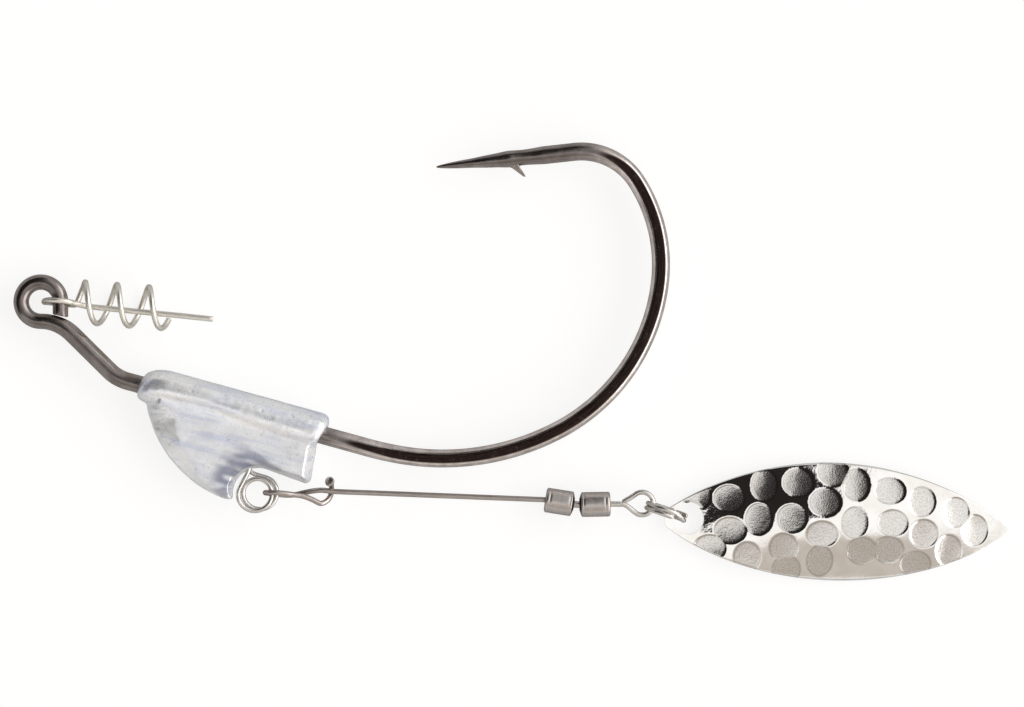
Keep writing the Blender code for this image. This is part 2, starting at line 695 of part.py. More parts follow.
def blade_mesh(lift):
    """Leaf of sheet, domed up between its ends, thin all over."""
    bm = bmesh.new()
    end = BLADE_HOLE / 2 + BLADE_RIM
    length = blade_reach() + end
    rows = 33
    cols = 11
    made = bmesh.ops.create_grid(bm, x_segments=rows - 1, y_segments=cols - 1, size=1.0)["verts"]
    made = sorted(made, key=lambda v: (round(v.co.x, 5), round(v.co.y, 5)))
    for n, v in enumerate(made):
        x = length * (1 - math.cos(math.pi * (n // cols) / (rows - 1))) / 2 - end
        y = (2 * (n % cols) / (cols - 1) - 1) * blade_edge(x)
        v.co = Vector((x, y + blade_middle(x), blade_level(x, y, lift)))
    bmesh.ops.remove_doubles(bm, verts=bm.verts, dist=0.0005)
    under = bm.faces[:]
    grown = bmesh.ops.extrude_face_region(bm, geom=under)["geom"]
    top = [g for g in grown if isinstance(g, bmesh.types.BMVert)]
    bmesh.ops.translate(bm, vec=(0, 0, BLADE_THICK), verts=top)
    return bm


def turned(bm, degrees):
    bmesh.ops.rotate(bm, cent=(0, 0, 0), verts=bm.verts,
                     matrix=Matrix.Rotation(math.radians(degrees), 3, "Z"))
    return bm


reset()
black = material("black_nickel", (0.13, 0.11, 0.105), 0.28, 1.0)
lead = material("bright_lead", (0.74, 0.77, 0.83), 0.38, 1.0)
steel = material("stainless_wire", (0.47, 0.44, 0.41), 0.30, 1.0)
barrel = material("black_brass", (0.26, 0.25, 0.25), 0.36, 1.0)
plate = material("silver_plate", (0.90, 0.90, 0.89), 0.10, 1.0)

# Hook, with its barb raised from the spear
stations = hook_stations()
level = (0, 0, HOOK_Z)
hook = finish(hook_mesh(), "hook", level, black)
barb = finish(barb_mesh(stations), "barb_add", level, None)
boolean(hook, barb, "UNION")

# Weight: sleeve and keel in one casting, bored for the shank and the hanger's legs
frame = shank_frame()
weight = finish(sleeve_mesh(frame), "keel_weight", level, lead)
keel = finish(keel_mesh(frame), "keel_add", level, None)
boolean(weight, keel, "UNION")
nose = frame @ Vector((-1.0, 0, 0))
tail = frame @ Vector((SLEEVE_LENGTH + 2.0, 0, 0))
facing = stations[-1][1] - sum(t for r, t in BEND_ARCS)
core = [(nose, facing, HOOK_WIRE, 0), (tail, facing, HOOK_WIRE, 0)]
bore = finish(hook_mesh(FIT, core), "shank_cut", level, None)
boolean(weight, bore, "DIFFERENCE")
hang = frame @ Vector((*HANGER_AT, 0))
hang = Vector((hang.x, hang.y, HOOK_Z))
path = hanger_path()
for name, part in (("leg_cut_front", path[:8]), ("leg_cut_rear", path[-8:])):
    end = part[0] if name == "leg_cut_front" else part[-1]
    bm = bmesh.new()
    wire(bm, part, HANGER_WIRE + 2 * FIT)
    cutter = finish(bm, name, hang, None)
    boolean(weight, cutter, "DIFFERENCE")
bm = bmesh.new()
wire(bm, path[1:-1], HANGER_WIRE)
finish(bm, "hanger_loop", hang, steel)

# Spring swings on the line eye
bm = bmesh.new()
wire(bm, spring_path(), SPRING_WIRE)
finish(turned(bm, SPRING_REST), "centering_pin_spring", level, steel)

# Arm swings on the hanger and slopes down to the swivel
drop = math.asin((HOOK_Z - SWIVEL_Z) / ARM_LENGTH)
bm = arm_mesh()
bmesh.ops.rotate(bm, cent=(0, 0, 0), verts=bm.verts, matrix=Matrix.Rotation(drop, 3, "Y"))
finish(turned(bm, ARM_REST), "spinner_arm", hang, steel)
root = Matrix.Rotation(math.radians(ARM_REST), 3, "Z") @ Matrix.Rotation(drop, 3, "Y")
mouth = hang + root @ Vector((ARM_LENGTH, ARM_OFFSET, 0))
mouth.z = SWIVEL_Z

# Swivel: two barrels joined by the link pin, then the eye
wire_bore = ARM_WIRE / 2 + BORE_PLAY * 0.6
stem_bore = STEM_WIRE / 2 + BORE_PLAY * 0.6
link_bore = LINK_SHAFT / 2 + BORE_PLAY * 0.6
bm = barrel_mesh(FRONT_BARREL, wire_bore, link_bore, False)
finish(turned(bm, FRONT_REST), "front_barrel", mouth, barrel)
knuckle = mouth + heading(FRONT_REST) * FRONT_BARREL
finish(turned(link_mesh(), LINK_REST), "link_pin", knuckle, steel)
rear = knuckle + heading(LINK_REST) * WAIST_GAP
bm = barrel_mesh(REAR_BARREL, stem_bore, link_bore, True)
finish(turned(bm, REAR_REST), "rear_barrel", rear, barrel)
back = rear + heading(REAR_REST) * REAR_BARREL
bm = eye_mesh()
finish(turned(bm, REAR_REST), "swivel_eye", back, steel)

# Split ring through the eye and the blade
loop = back + heading(REAR_REST) * LOOP_REACH
middle, high, lift, far = ring_place()
finish(turned(ring_mesh(), RING_REST), "split_ring", loop, steel)
hole = loop + heading(RING_REST) * far
hole.z = 0
blade = finish(turned(blade_mesh(lift), BLADE_REST), "willow_blade", hole, plate)
bm = bmesh.new()
bmesh.ops.create_cone(bm, cap_ends=True, segments=32, radius1=BLADE_HOLE / 2,
                      radius2=BLADE_HOLE / 2, depth=4.0)
punch = finish(bm, "hole_cut", hole, None)
boolean(blade, punch, "DIFFERENCE")


def stand():
    """Put the middle of the whole over the origin and its lowest point on z = 0."""
    bpy.context.view_layer.update()
    graph = bpy.context.evaluated_depsgraph_get()
    low = Vector((1e9, 1e9, 1e9))
    top = -low
    for item in bpy.data.objects:
        if item.type != "MESH" or item.hide_render:
            continue
        shown = item.evaluated_get(graph)
        for v in shown.data.vertices:
            p = shown.matrix_world @ v.co
            low = Vector(map(min, low, p))
            top = Vector(map(max, top, p))
    shift = Vector((-(low.x + top.x) / 2, -(low.y + top.y) / 2, -low.z))
    for item in bpy.data.objects:
        item.location = item.location + shift
    bpy.context.view_layer.update()
    print("box mm", [round(v / MM, 3) for v in (top - low)], "shift", [round(v / MM, 4) for v in shift])
    return shift


shift = stand()
for item in bpy.data.objects:
    if not item.hide_render:
        print(item.name, [round(v / MM, 4) for v in item.location])
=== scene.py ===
# %% [markdown]
# # A weighted swimbait hook with a hammered blade under it
#
# The lure lies on its side on a white table: a black wide-gap hook, a cast lead
# keel, a coiled wire keeper on the line eye, and under the keel a wire arm with
# a barrel swivel, a split ring and a willow-leaf blade.
#
# The CAD frame gives the places and the joints. This script makes each piece
# again with finer surfaces, and each new piece stands for one CAD node.

# %% open the frame
import json
import math

import bmesh
import bpy
from mathutils import Matrix, Vector, noise


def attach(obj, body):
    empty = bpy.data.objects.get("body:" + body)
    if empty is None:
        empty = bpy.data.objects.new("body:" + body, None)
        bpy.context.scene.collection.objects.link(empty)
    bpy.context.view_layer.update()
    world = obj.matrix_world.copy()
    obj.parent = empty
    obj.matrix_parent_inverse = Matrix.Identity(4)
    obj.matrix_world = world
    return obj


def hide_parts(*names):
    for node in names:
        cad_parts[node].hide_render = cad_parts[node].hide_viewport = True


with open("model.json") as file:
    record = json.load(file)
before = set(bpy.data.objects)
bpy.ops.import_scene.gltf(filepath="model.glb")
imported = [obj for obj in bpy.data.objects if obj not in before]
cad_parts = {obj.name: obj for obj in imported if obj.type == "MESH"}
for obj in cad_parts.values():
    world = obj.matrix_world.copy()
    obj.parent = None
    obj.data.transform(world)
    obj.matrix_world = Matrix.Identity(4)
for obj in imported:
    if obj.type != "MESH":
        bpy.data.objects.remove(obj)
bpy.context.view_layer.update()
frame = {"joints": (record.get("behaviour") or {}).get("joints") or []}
MM = 0.001

# %% [markdown]
# ## Places
#
# Every piece is drawn in millimetres round its own joint, so the joints of the
# frame are all the positions that are needed.

# %% read the joints
pivots = {j["name"]: Vector(j["pos_m"]) / MM for j in frame["joints"]}
HOOK_EYE = pivots["keeper_swing"]
HANGER = pivots["arm_swing"]
FRONT_DRUM = pivots["front_drum_spin"]
LINK = pivots["link_tilt"]
REAR_DRUM = pivots["rear_drum_spin"]
SWIVEL_EYE = pivots["eye_spin"]
RING = pivots["ring_swing"]
BLADE = Vector((pivots["blade_swing"].x, pivots["blade_swing"].y, 0))
for name, pivot in pivots.items():
    print(f"{name}: {pivot.x:.2f}, {pivot.y:.2f}, {pivot.z:.2f} mm")

# %% [markdown]
# ## Sizes of the pieces
#
# The same sizes as the solids, in millimetres and degrees. A bend is written as
# (radius, turn), and the taper as (distance from the point, width).

# %% sizes of the hook
HOOK_WIRE = 1.87
NECK_WIRE = 1.82
EYE_WIRE = 1.60
EYE_RADIUS = 2.03
EYE_TAIL = 1.46
EYE_CUT_SLOPE = 0.20
NECK_TOP = (4.67, -44.67)
NECK_LENGTH = 5.36
NECK_LOW = (4.30, 29.23)
SHANK = 25.96
BEND = ((32.77, 6.59), (25.82, 36.53), (19.84, 55.36), (16.03, 39.33), (6.81, 63.91))
SPEAR = 14.35
FORGED = 1.60
TAPER = ((11.2, 1.86), (9.3, 1.62), (8.3, 1.66), (7.45, 1.72), (6.2, 1.46), (4.95, 1.24),
         (3.7, 0.98), (2.45, 0.80), (1.2, 0.56), (0.35, 0.31), (0.0, 0.14))
BARB_FRONT = 7.45
BARB_BACK = 8.40
BARB_RISE = 1.16
BARB_LEAN = 0.62
BARB_THICK = 0.84
print(f"hook wire {HOOK_WIRE} mm, pressed to {FORGED} mm")

# %% sizes of the other pieces
WEIGHT_SETBACK = 1.06
WEIGHT_DEPTH = 4.90
HANGER_WIRE = 0.48
HANGER_RADIUS = 1.62
HANGER_AT = Vector((15.16, -7.65, 0))
SPRING_WIRE = 0.58
SPRING_RADIUS = 2.09
ARM_WIRE = 0.55
ARM_LENGTH = 29.7
ARM_OFFSET = 0.57
DRUM = 2.58
DRUM_WALL = 0.30
LOOP_WIRE = 0.52
LOOP_RADIUS = 1.18
LOOP_REACH = 3.30
RING_OUTSIDE = 4.56
RING_WIRE = 0.48
BLADE_WIDTH = 12.26
BLADE_HALF = 18.40
BLADE_HOLE = 3.15
BLADE_RIM = 0.95
BLADE_THICK = 0.40
BLADE_FULLNESS = 0.85
BLADE_END = 2.40
BLADE_BOW = 0.26
BLADE_DOME = 1.90
DENT_RADIUS = 1.50
DENT_DEPTH = 0.17
print(f"weight {WEIGHT_DEPTH} mm deep, blade {BLADE_WIDTH} mm wide")

# %% [markdown]
# ## Tools for shaping
#
# A wire could be a curve with a round bevel. `sweep` pulls a ring of edges from
# station to station instead, so every station can have its own width and can be
# pressed flat afterwards. It also keeps, on every point, where that point lies
# round and along the wire, so the finish follows every bend and shows no seam.

# %% directions and easing


def heading(degrees):
    turn = math.radians(degrees)
    return Vector((math.cos(turn), math.sin(turn), 0))


def ease(a, b, x):
    t = max(0.0, min(1.0, (x - a) / (b - a)))
    return t * t * (3 - 2 * t)


def fresh():
    """An empty mesh with the two things that each point remembers."""
    bm = bmesh.new()
    bm.verts.layers.float_vector.new("grain")
    bm.verts.layers.float.new("mask")
    return bm


def arc(begin, facing, radius, turn, steps):
    """(place, facing) along a bend that starts at `begin`."""
    side = math.copysign(1, turn)
    centre = begin + heading(facing + 90 * side) * radius
    out = []
    for i in range(1, steps + 1):
        now = facing + turn * i / steps
        out.append((centre - heading(now + 90 * side) * radius, now))
    return out


UPRIGHT = Matrix.Rotation(math.pi / 2, 4, "Y")
print("directions and easing ready")

# %% sweeping a wire


def next_ring(bm, edges):
    """Extrude a ring of edges, and give the new ring's points and edges."""
    grown = bmesh.ops.extrude_edge_only(bm, edges=edges)["geom"]
    verts = [g for g in grown if isinstance(g, bmesh.types.BMVert)]
    ring = set(verts)
    edges = [g for g in grown if isinstance(g, bmesh.types.BMEdge)]
    return verts, [e for e in edges if e.verts[0] in ring and e.verts[1] in ring]


def sweep(bm, mats, sides):
    """Pull one ring of edges through the stations of an empty mesh, closed at both ends."""
    grain = bm.verts.layers.float_vector["grain"]
    first = bmesh.ops.create_circle(bm, cap_ends=True, radius=1.0, segments=sides, matrix=mats[0])
    verts = list(first["verts"])
    edges = bm.edges[:]
    rings = [verts]
    along = 0.0
    for n, after in enumerate(mats):
        if n:
            before = mats[n - 1]
            verts, edges = next_ring(bm, edges)
            bmesh.ops.transform(bm, matrix=after @ before.inverted(), verts=verts)
            along += (after.translation - before.translation).length
            rings.append(verts)
        back = after.inverted()
        for v in verts:
            spot = back @ v.co
            v[grain] = Vector((spot.x, spot.y, along))
    bmesh.ops.edgeloop_fill(bm, edges=edges)
    return rings


def smooth_path(points, per):
    """A smooth line through the points, `per` stations to each span."""
    points = [Vector(p) for p in points]
    chain = [points[0] * 2 - points[1]] + points + [points[-1] * 2 - points[-2]]
    out = []
    for i in range(1, len(chain) - 2):
        p0, p1, p2, p3 = chain[i - 1: i + 3]
        for k in range(per):
            t = k / per
            a = p1 * 2 + (p2 - p0) * t
            b = (p0 * 2 - p1 * 5 + p2 * 4 - p3) * t * t
            c = (p1 * 3 - p0 - p2 * 3 + p3) * t * t * t
            out.append((a + b + c) * 0.5)
    out.append(points[-1])
    return out


def wire_mats(points, widths):
    """One matrix for each station of a round wire, turning as little as it can."""
    lines = []
    for i in range(len(points)):
        a = points[max(i - 1, 0)]
        b = points[min(i + 1, len(points) - 1)]
        lines.append((b - a).normalized())
    turn = Vector((0, 0, 1)).rotation_difference(lines[0]).to_matrix()
    mats = []
    for i, p in enumerate(points):
        if i:
            turn = lines[i - 1].rotation_difference(lines[i]).to_matrix() @ turn
        size = widths[i] / 2
        mats.append(Matrix.Translation(p) @ turn.to_4x4() @ Matrix.Diagonal((size, size, size, 1)))
    return mats


print("wire tools ready")

# %% spinning a profile, and placing a finished piece


def lathe(bm, profile, steps=72):
    """Spin a profile of (along, radius) round the x axis."""
    grain = bm.verts.layers.float_vector["grain"]
    verts = [bm.verts.new((x, r, 0)) for x, r in profile]
    pairs = list(zip(verts, verts[1:]))
    is_shell = profile[0][1] > 0
    if is_shell:
        pairs.append((verts[-1], verts[0]))
    edges = [bm.edges.new(pair) for pair in pairs]
    bmesh.ops.spin(bm, geom=verts + edges, cent=(0, 0, 0), axis=(1, 0, 0), dvec=(0, 0, 0),
                   angle=math.tau, steps=steps, use_merge=True, use_duplicate=False)
    bmesh.ops.remove_doubles(bm, verts=bm.verts, dist=0.0004)
    for v in bm.verts:
        v[grain] = v.co


def home(pivot, degrees=0.0):
    """From millimetres round a joint to metres in the frame."""
    turn = Matrix.Rotation(math.radians(degrees), 4, "Z")
    return Matrix.Scale(MM, 4) @ Matrix.Translation(pivot) @ turn


def place(bm, name, body, node, matrix, look, sharp=40):
    """Turn the mesh into a finished object that rides on its body."""
    bmesh.ops.remove_doubles(bm, verts=bm.verts, dist=0.0004)
    bmesh.ops.recalc_face_normals(bm, faces=bm.faces)
    bmesh.ops.transform(bm, matrix=matrix, verts=bm.verts)
    mesh = bpy.data.meshes.new(name)
    bm.to_mesh(mesh)
    bm.free()
    mesh.shade_smooth()
    mesh.set_sharp_from_angle(angle=math.radians(sharp))
    mesh.materials.append(look)
    item = bpy.data.objects.new(name, mesh)
    bpy.context.scene.collection.objects.link(item)
    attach(item, body)
    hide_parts(node)
    print(f"{name}: {len(mesh.polygons)} faces on body {body}")
    return item


print("placing tools ready")

# %% [markdown]
# ## Tools for the finishes
#
# Short helpers that add a node and fill its sockets keep each finish readable.
# Effects that several metals share live in node groups: drawn lines along a
# wire, fine scratches, and specks. A group only puts out values, and each metal
# keeps its own shader.

# %% node helpers


def put(tree, socket, value):
    if isinstance(value, bpy.types.NodeSocket):
        tree.links.new(value, socket)
    else:
        socket.default_value = value


def add(tree, kind, sockets=None, out=0, **settings):
    made = tree.nodes.new("ShaderNode" + kind)
    for key, value in settings.items():
        setattr(made, key, value)
    for key, value in (sockets or {}).items():
        put(tree, made.inputs[key], value)
    return made.outputs[out]


def maths(tree, how, a, b):
    return add(tree, "Math", {0: a, 1: b}, operation=how)


def times(tree, a, b):
    return maths(tree, "MULTIPLY", a, b)


def spread(tree, value, a, b, c=0.0, d=1.0, smooth=True):
    """Map a value from the range a..b to the range c..d, and stop at the ends."""
    kind = "SMOOTHSTEP" if smooth else "LINEAR"
    return add(tree, "MapRange", {"Value": value, "From Min": a, "From Max": b,
                                  "To Min": c, "To Max": d}, interpolation_type=kind)


def blend(tree, share, a, b):
    return add(tree, "Mix", {0: share, 6: a, 7: b}, out=2, data_type="RGBA")


def colour(r, g, b):
    return (r, g, b, 1.0)


def grid(tree, vector, x, y, z):
    """Stretch a coordinate, axis by axis."""
    return add(tree, "VectorMath", {0: vector, 1: (x, y, z)}, operation="MULTIPLY")


def speckle(tree, vector, scale, detail=3.0, rough=0.5):
    return add(tree, "TexNoise", {"Vector": vector, "Scale": scale, "Detail": detail,
                                  "Roughness": rough})


def group(name, inputs, outputs):
    made = bpy.data.node_groups.new(name, "ShaderNodeTree")
    for way, sockets in (("INPUT", inputs), ("OUTPUT", outputs)):
        for label, kind in sockets:
            made.interface.new_socket(label, in_out=way, socket_type="NodeSocket" + kind)
    return made, made.nodes.new("NodeGroupInput").outputs, made.nodes.new("NodeGroupOutput").inputs


print("node helpers ready")

# %% the shared effects
drawn, given, result = group("drawn lines", [("Vector", "Vector"), ("Fineness", "Float")],
                             [("Lines", "Float"), ("Patches", "Float")])
long_way = grid(drawn, given["Vector"], 1.0, 1.0, 0.06)
fine = speckle(drawn, long_way, given["Fineness"], 4.0, 0.65)
patches = speckle(drawn, grid(drawn, given["Vector"], 0.5, 0.5, 0.5), 1.6, 3.0)
drawn.links.new(spread(drawn, fine, 0.32, 0.70), result["Lines"])
drawn.links.new(spread(drawn, patches, 0.38, 0.66), result["Patches"])

scratched, given, result = group("fine scratches", [("Vector", "Vector"), ("Scale", "Float")],
                                 [("Scratches", "Float")])
bent = add(scratched, "TexNoise", {"Vector": given["Vector"], "Scale": 0.9}, out=1)
moved = add(scratched, "VectorMath", {0: given["Vector"], 1: grid(scratched, bent, 1.2, 1.2, 1.2)},
            operation="ADD")
cells = add(scratched, "TexVoronoi", {"Vector": grid(scratched, moved, 1.0, 0.16, 1.0),
                                      "Scale": given["Scale"]}, feature="DISTANCE_TO_EDGE")
lines = spread(scratched, cells, 0.0, 0.035, 1.0, 0.0)
broken = spread(scratched, speckle(scratched, given["Vector"], 1.7, 2.0), 0.50, 0.62)
scratched.links.new(times(scratched, lines, broken), result["Scratches"])

specked, given, result = group("specks", [("Vector", "Vector"), ("Scale", "Float")],
                               [("Specks", "Float")])
spots = add(specked, "TexVoronoi", {"Vector": given["Vector"], "Scale": given["Scale"]})
wobble = speckle(specked, given["Vector"], 9.0, 2.0)
size = maths(specked, "ADD", spots, times(specked, wobble, 0.22))
few = spread(specked, speckle(specked, given["Vector"], 0.8, 1.0), 0.44, 0.60)
specked.links.new(times(specked, spread(specked, size, 0.16, 0.26, 1.0, 0.0), few),
                  result["Specks"])
print("finish groups:", ", ".join(g.name for g in bpy.data.node_groups))

# %% starting a metal


def use(tree, shared, sockets):
    """Place a shared effect in a material, with its own values."""
    node = tree.nodes.new("ShaderNodeGroup")
    node.node_tree = shared
    for key, value in sockets.items():
        put(tree, node.inputs[key], value)
    return node.outputs


def metal(name):
    """A metal with the two remembered values, grain and mask, ready to use."""
    made = bpy.data.materials.new(name)
    made.use_nodes = True
    tree = made.node_tree
    shader = tree.nodes["Principled BSDF"]
    shader.inputs["Metallic"].default_value = 1.0
    grain = add(tree, "Attribute", out=1, attribute_name="grain", attribute_type="GEOMETRY")
    mask = add(tree, "Attribute", out=2, attribute_name="mask", attribute_type="GEOMETRY")
    return made, tree, shader.inputs, grain, mask


def bump(tree, height, strength, distance, under=None):
    sockets = {"Height": height, "Strength": strength, "Distance": distance}
    if under is not None:
        sockets["Normal"] = under
    return add(tree, "Bump", sockets)


def stain(tree, tone, where, share, tint):
    """Lay a tint over the tone where a value says so."""
    return blend(tree, times(tree, where, share), tone, tint)


print("metal starter ready")

# %% [markdown]
# ## Black nickel of the hook
#
# Browner and lighter where the wire turns away, with the faint lines that the wire
# was drawn with. The near-black of the glossy pressed flats, and the darker top and
# bottom of the round wire, is a painted dark reflection of the room above. The
# point value `mask` says how surely a point lies on a flat, so one metal covers
# the whole hook and the two tones melt into each other.

# %% finish of the hook
black_nickel, tree, inputs, grain, mask = metal("black_nickel_plating")
wire_lines = use(tree, drawn, {"Vector": grain, "Fineness": 7.0})
marks = use(tree, scratched, {"Vector": grain, "Scale": 2.4})["Scratches"]
# painted dark reflection: darkens the pressed flats and the top and bottom of the round wire
painted_reflection_stripe = spread(tree, mask, 0.10, 0.72)
edge_tone = blend(tree, wire_lines["Patches"], colour(0.60, 0.54, 0.51), colour(0.80, 0.73, 0.70))
# the near-black tone of the painted dark reflection, with the drawn lines in it
painted_dark_flat_tone = blend(tree, wire_lines["Lines"], colour(0.014, 0.009, 0.008),
                  colour(0.040, 0.026, 0.022))
tone = blend(tree, painted_reflection_stripe, edge_tone, painted_dark_flat_tone)
tone = stain(tree, tone, marks, 0.16, colour(0.34, 0.32, 0.31))
put(tree, inputs["Base Color"], tone)
put(tree, inputs["Roughness"], spread(tree, wire_lines["Lines"], 0.0, 1.0, 0.22, 0.32))
put(tree, inputs["Normal"], bump(tree, wire_lines["Lines"], 0.18, 0.00001))
inputs["Specular Tint"].default_value = colour(0.50, 0.46, 0.44)
print("hook finish:", black_nickel.name)

# %% [markdown]
# ## Bright lead of the weight
#
# Fresh cast lead is blue-white. The mould leaves long soft streaks, handling
# leaves scratches, and dark specks sit in the pits. The thin skin of oxide
# scatters light, so the metal isn't a full mirror: Metallic stays at about 0.6.

# %% finish of the weight
bright_lead, tree, inputs, grain, mask = metal("bright_cast_lead")
streak_space = grid(tree, grain, 0.20, 1.3, 1.0)
streaks = speckle(tree, streak_space, 0.75, 5.0, 0.55)
clouds = speckle(tree, grain, 0.55, 4.0, 0.6)
marks = use(tree, scratched, {"Vector": grain, "Scale": 1.5})["Scratches"]
dark_spots = use(tree, specked, {"Vector": grain, "Scale": 2.1})["Specks"]
streak_tones = colour(0.76, 0.80, 0.92), colour(0.98, 0.99, 1.0)
tone = blend(tree, spread(tree, streaks, 0.30, 0.54), *streak_tones)
tone = blend(tree, spread(tree, clouds, 0.56, 0.76, 0.0, 0.35), tone, colour(0.45, 0.50, 0.64))
tone = stain(tree, tone, marks, 0.35, colour(0.30, 0.33, 0.38))
tone = stain(tree, tone, dark_spots, 0.80, colour(0.10, 0.10, 0.12))
# painted reflection and shade: the mask tints the patch by the notch and the keel's flat faces dark
# blue-grey
tone = stain(tree, tone, mask, 0.80, colour(0.16, 0.18, 0.28))
put(tree, inputs["Base Color"], tone)
put(tree, inputs["Roughness"], spread(tree, clouds, 0.30, 0.70, 0.24, 0.36))
inputs["Metallic"].default_value = 0.62
inputs["Specular Tint"].default_value = colour(0.62, 0.64, 0.68)
grit = speckle(tree, grain, 14.0, 3.0, 0.6)
fine_bump = bump(tree, grit, 0.20, 0.00002)
streak_bump = bump(tree, streaks, 0.30, 0.00006, fine_bump)
pit_bump = bump(tree, maths(tree, "MAXIMUM", dark_spots, marks), -0.6, 0.00005, streak_bump)
put(tree, inputs["Normal"], pit_bump)
print("weight finish:", bright_lead.name)

# %% [markdown]
# ## Stainless wire
#
# One recipe, used three times: brown-grey for the arm, a bright one for the
# hanger, the swivel's eye and the split ring, and a dull cream for the keeper.

# %% finishes of the wires


def wire_metal(name, dark, light, rough):
    made, tree, inputs, grain, mask = metal(name)
    lines = use(tree, drawn, {"Vector": grain, "Fineness": 9.0})
    marks = use(tree, scratched, {"Vector": grain, "Scale": 3.2})["Scratches"]
    tone = blend(tree, lines["Lines"], dark, light)
    tone = stain(tree, tone, lines["Patches"], 0.35, dark)
    tone = stain(tree, tone, marks, 0.5, colour(0.12, 0.11, 0.10))
    put(tree, inputs["Base Color"], tone)
    put(tree, inputs["Roughness"], spread(tree, lines["Patches"], 0.0, 1.0, rough, rough + 0.12))
    put(tree, inputs["Normal"], bump(tree, lines["Lines"], 0.25, 0.00001))
    inputs["Specular Tint"].default_value = colour(0.42, 0.40, 0.38)
    return made


warm_wire = wire_metal("stainless_wire_warm", colour(0.38, 0.335, 0.31),
                       colour(0.62, 0.56, 0.525), 0.30)
pale_wire = wire_metal("stainless_wire_pale", colour(0.58, 0.55, 0.52),
                       colour(0.88, 0.855, 0.82), 0.26)
cream_wire = wire_metal("stainless_wire_tinned", colour(0.78, 0.75, 0.68),
                        colour(0.96, 0.93, 0.86), 0.38)
print("wire finishes:", warm_wire.name, pale_wire.name, cream_wire.name)

# %% [markdown]
# ## Black brass of the swivel's drums
#
# Turned on a lathe, so every line runs round the drum: the lines depend only on
# how far along the drum a point lies.

# %% finish of the drums
black_brass, tree, inputs, grain, mask = metal("black_plated_brass")
turned_lines = speckle(tree, grid(tree, grain, 9.0, 0.25, 0.25), 1.4, 5.0, 0.7)
handled = speckle(tree, grain, 1.5, 4.0, 0.6)
turned_tones = colour(0.50, 0.46, 0.435), colour(0.60, 0.56, 0.535)
tone = blend(tree, spread(tree, turned_lines, 0.25, 0.75), *turned_tones)
tone = blend(tree, spread(tree, handled, 0.55, 0.75, 0.0, 0.5), tone, colour(0.72, 0.67, 0.64))
# painted shade: near-black on the crimped shoulder at the waist, where the drums meet
tone = stain(tree, tone, mask, 0.8, colour(0.06, 0.055, 0.05))
put(tree, inputs["Base Color"], tone)
put(tree, inputs["Roughness"], spread(tree, handled, 0.3, 0.7, 0.28, 0.42))
put(tree, inputs["Normal"], bump(tree, turned_lines, 0.08, 0.00001))
inputs["Specular Tint"].default_value = colour(0.34, 0.32, 0.31)
print("drum finish:", black_brass.name)

# %% [markdown]
# ## Silver plate of the blade
#
# A near mirror. The floors of the dents carry the punch's fine grain, which
# the point value `mask` marks, and their rims carry a painted shade, a dark ring.

# %% finish of the blade
silver_plate, tree, inputs, grain, mask = metal("silver_plate_polished")
outside = maths(tree, "SUBTRACT", 1.0, mask)
# painted shade: a ring along the edge of each dent's floor
rim = times(tree, times(tree, mask, outside), 4.0)
grainy = speckle(tree, grain, 5.5, 2.0, 0.6)
cloud = speckle(tree, grain, 0.35, 4.0, 0.55)
rubbed = use(tree, scratched, {"Vector": grain, "Scale": 0.9})["Scratches"]
plate_tones = colour(0.93, 0.92, 0.90), colour(0.86, 0.83, 0.79)
tone = blend(tree, spread(tree, cloud, 0.40, 0.66), *plate_tones)
stipple = times(tree, spread(tree, grainy, 0.44, 0.60), mask)
tone = stain(tree, tone, mask, 0.45, colour(0.60, 0.57, 0.54))
tone = stain(tree, tone, stipple, 0.40, colour(0.42, 0.40, 0.38))
# painted shade: the ring round each dent is laid on dark
tone = stain(tree, tone, rim, 0.42, colour(0.22, 0.20, 0.18))
tone = stain(tree, tone, rubbed, 0.25, colour(0.55, 0.52, 0.50))
put(tree, inputs["Base Color"], tone)
put(tree, inputs["Roughness"], spread(tree, mask, 0.0, 1.0, 0.045, 0.20))
wavy = bump(tree, cloud, 0.30, 0.0002)
put(tree, inputs["Normal"], bump(tree, times(tree, grainy, mask), 0.25, 0.00005, wavy))
print("blade finish:", silver_plate.name)

# %% [markdown]
# ## The hook
#
# One wire from the cut end of the line eye to the point: round the eye, down
# the bent neck, along the shank and round the bend. A station is (place, facing,
# width, how far pressed flat), so the list reads like the bending plan of a
# wire former.

# %% the hook's stations
stations = []
start = Vector((EYE_RADIUS, 0, 0))
for share, size in ((1.0, 0.88), (0.96, 0.97), (0.90, 1.0), (0.6, 1.0), (0.3, 1.0), (0.0, 1.0)):
    stations.append((start - Vector((0, EYE_TAIL * share, 0)), 90.0, EYE_WIRE * size, 0))
for p, f in arc(start, 90.0, EYE_RADIUS, 270.0, 72):
    stations.append((p, f, EYE_WIRE, 0))
spot, facing = stations[-1][0], 0.0
for i, (p, f) in enumerate(arc(spot, facing, *NECK_TOP, 12)):
    stations.append((p, f, EYE_WIRE + (NECK_WIRE - EYE_WIRE) * ease(0, 12, i + 1), 0))
spot, facing = stations[-1][:2]
for i in range(1, 9):
    stations.append((spot + heading(facing) * NECK_LENGTH * i / 8, facing, NECK_WIRE, 0))
for p, f in arc(stations[-1][0], facing, *NECK_LOW, 12):
    stations.append((p, f, NECK_WIRE, 0))
spot, facing = stations[-1][:2]
shank_start, shank_facing = spot, facing
for i in range(1, 31):
    width = NECK_WIRE + (HOOK_WIRE - NECK_WIRE) * ease(0, 5, i)
    stations.append((spot + heading(facing) * SHANK * i / 30, facing, width, 0.6 * ease(24, 30, i)))
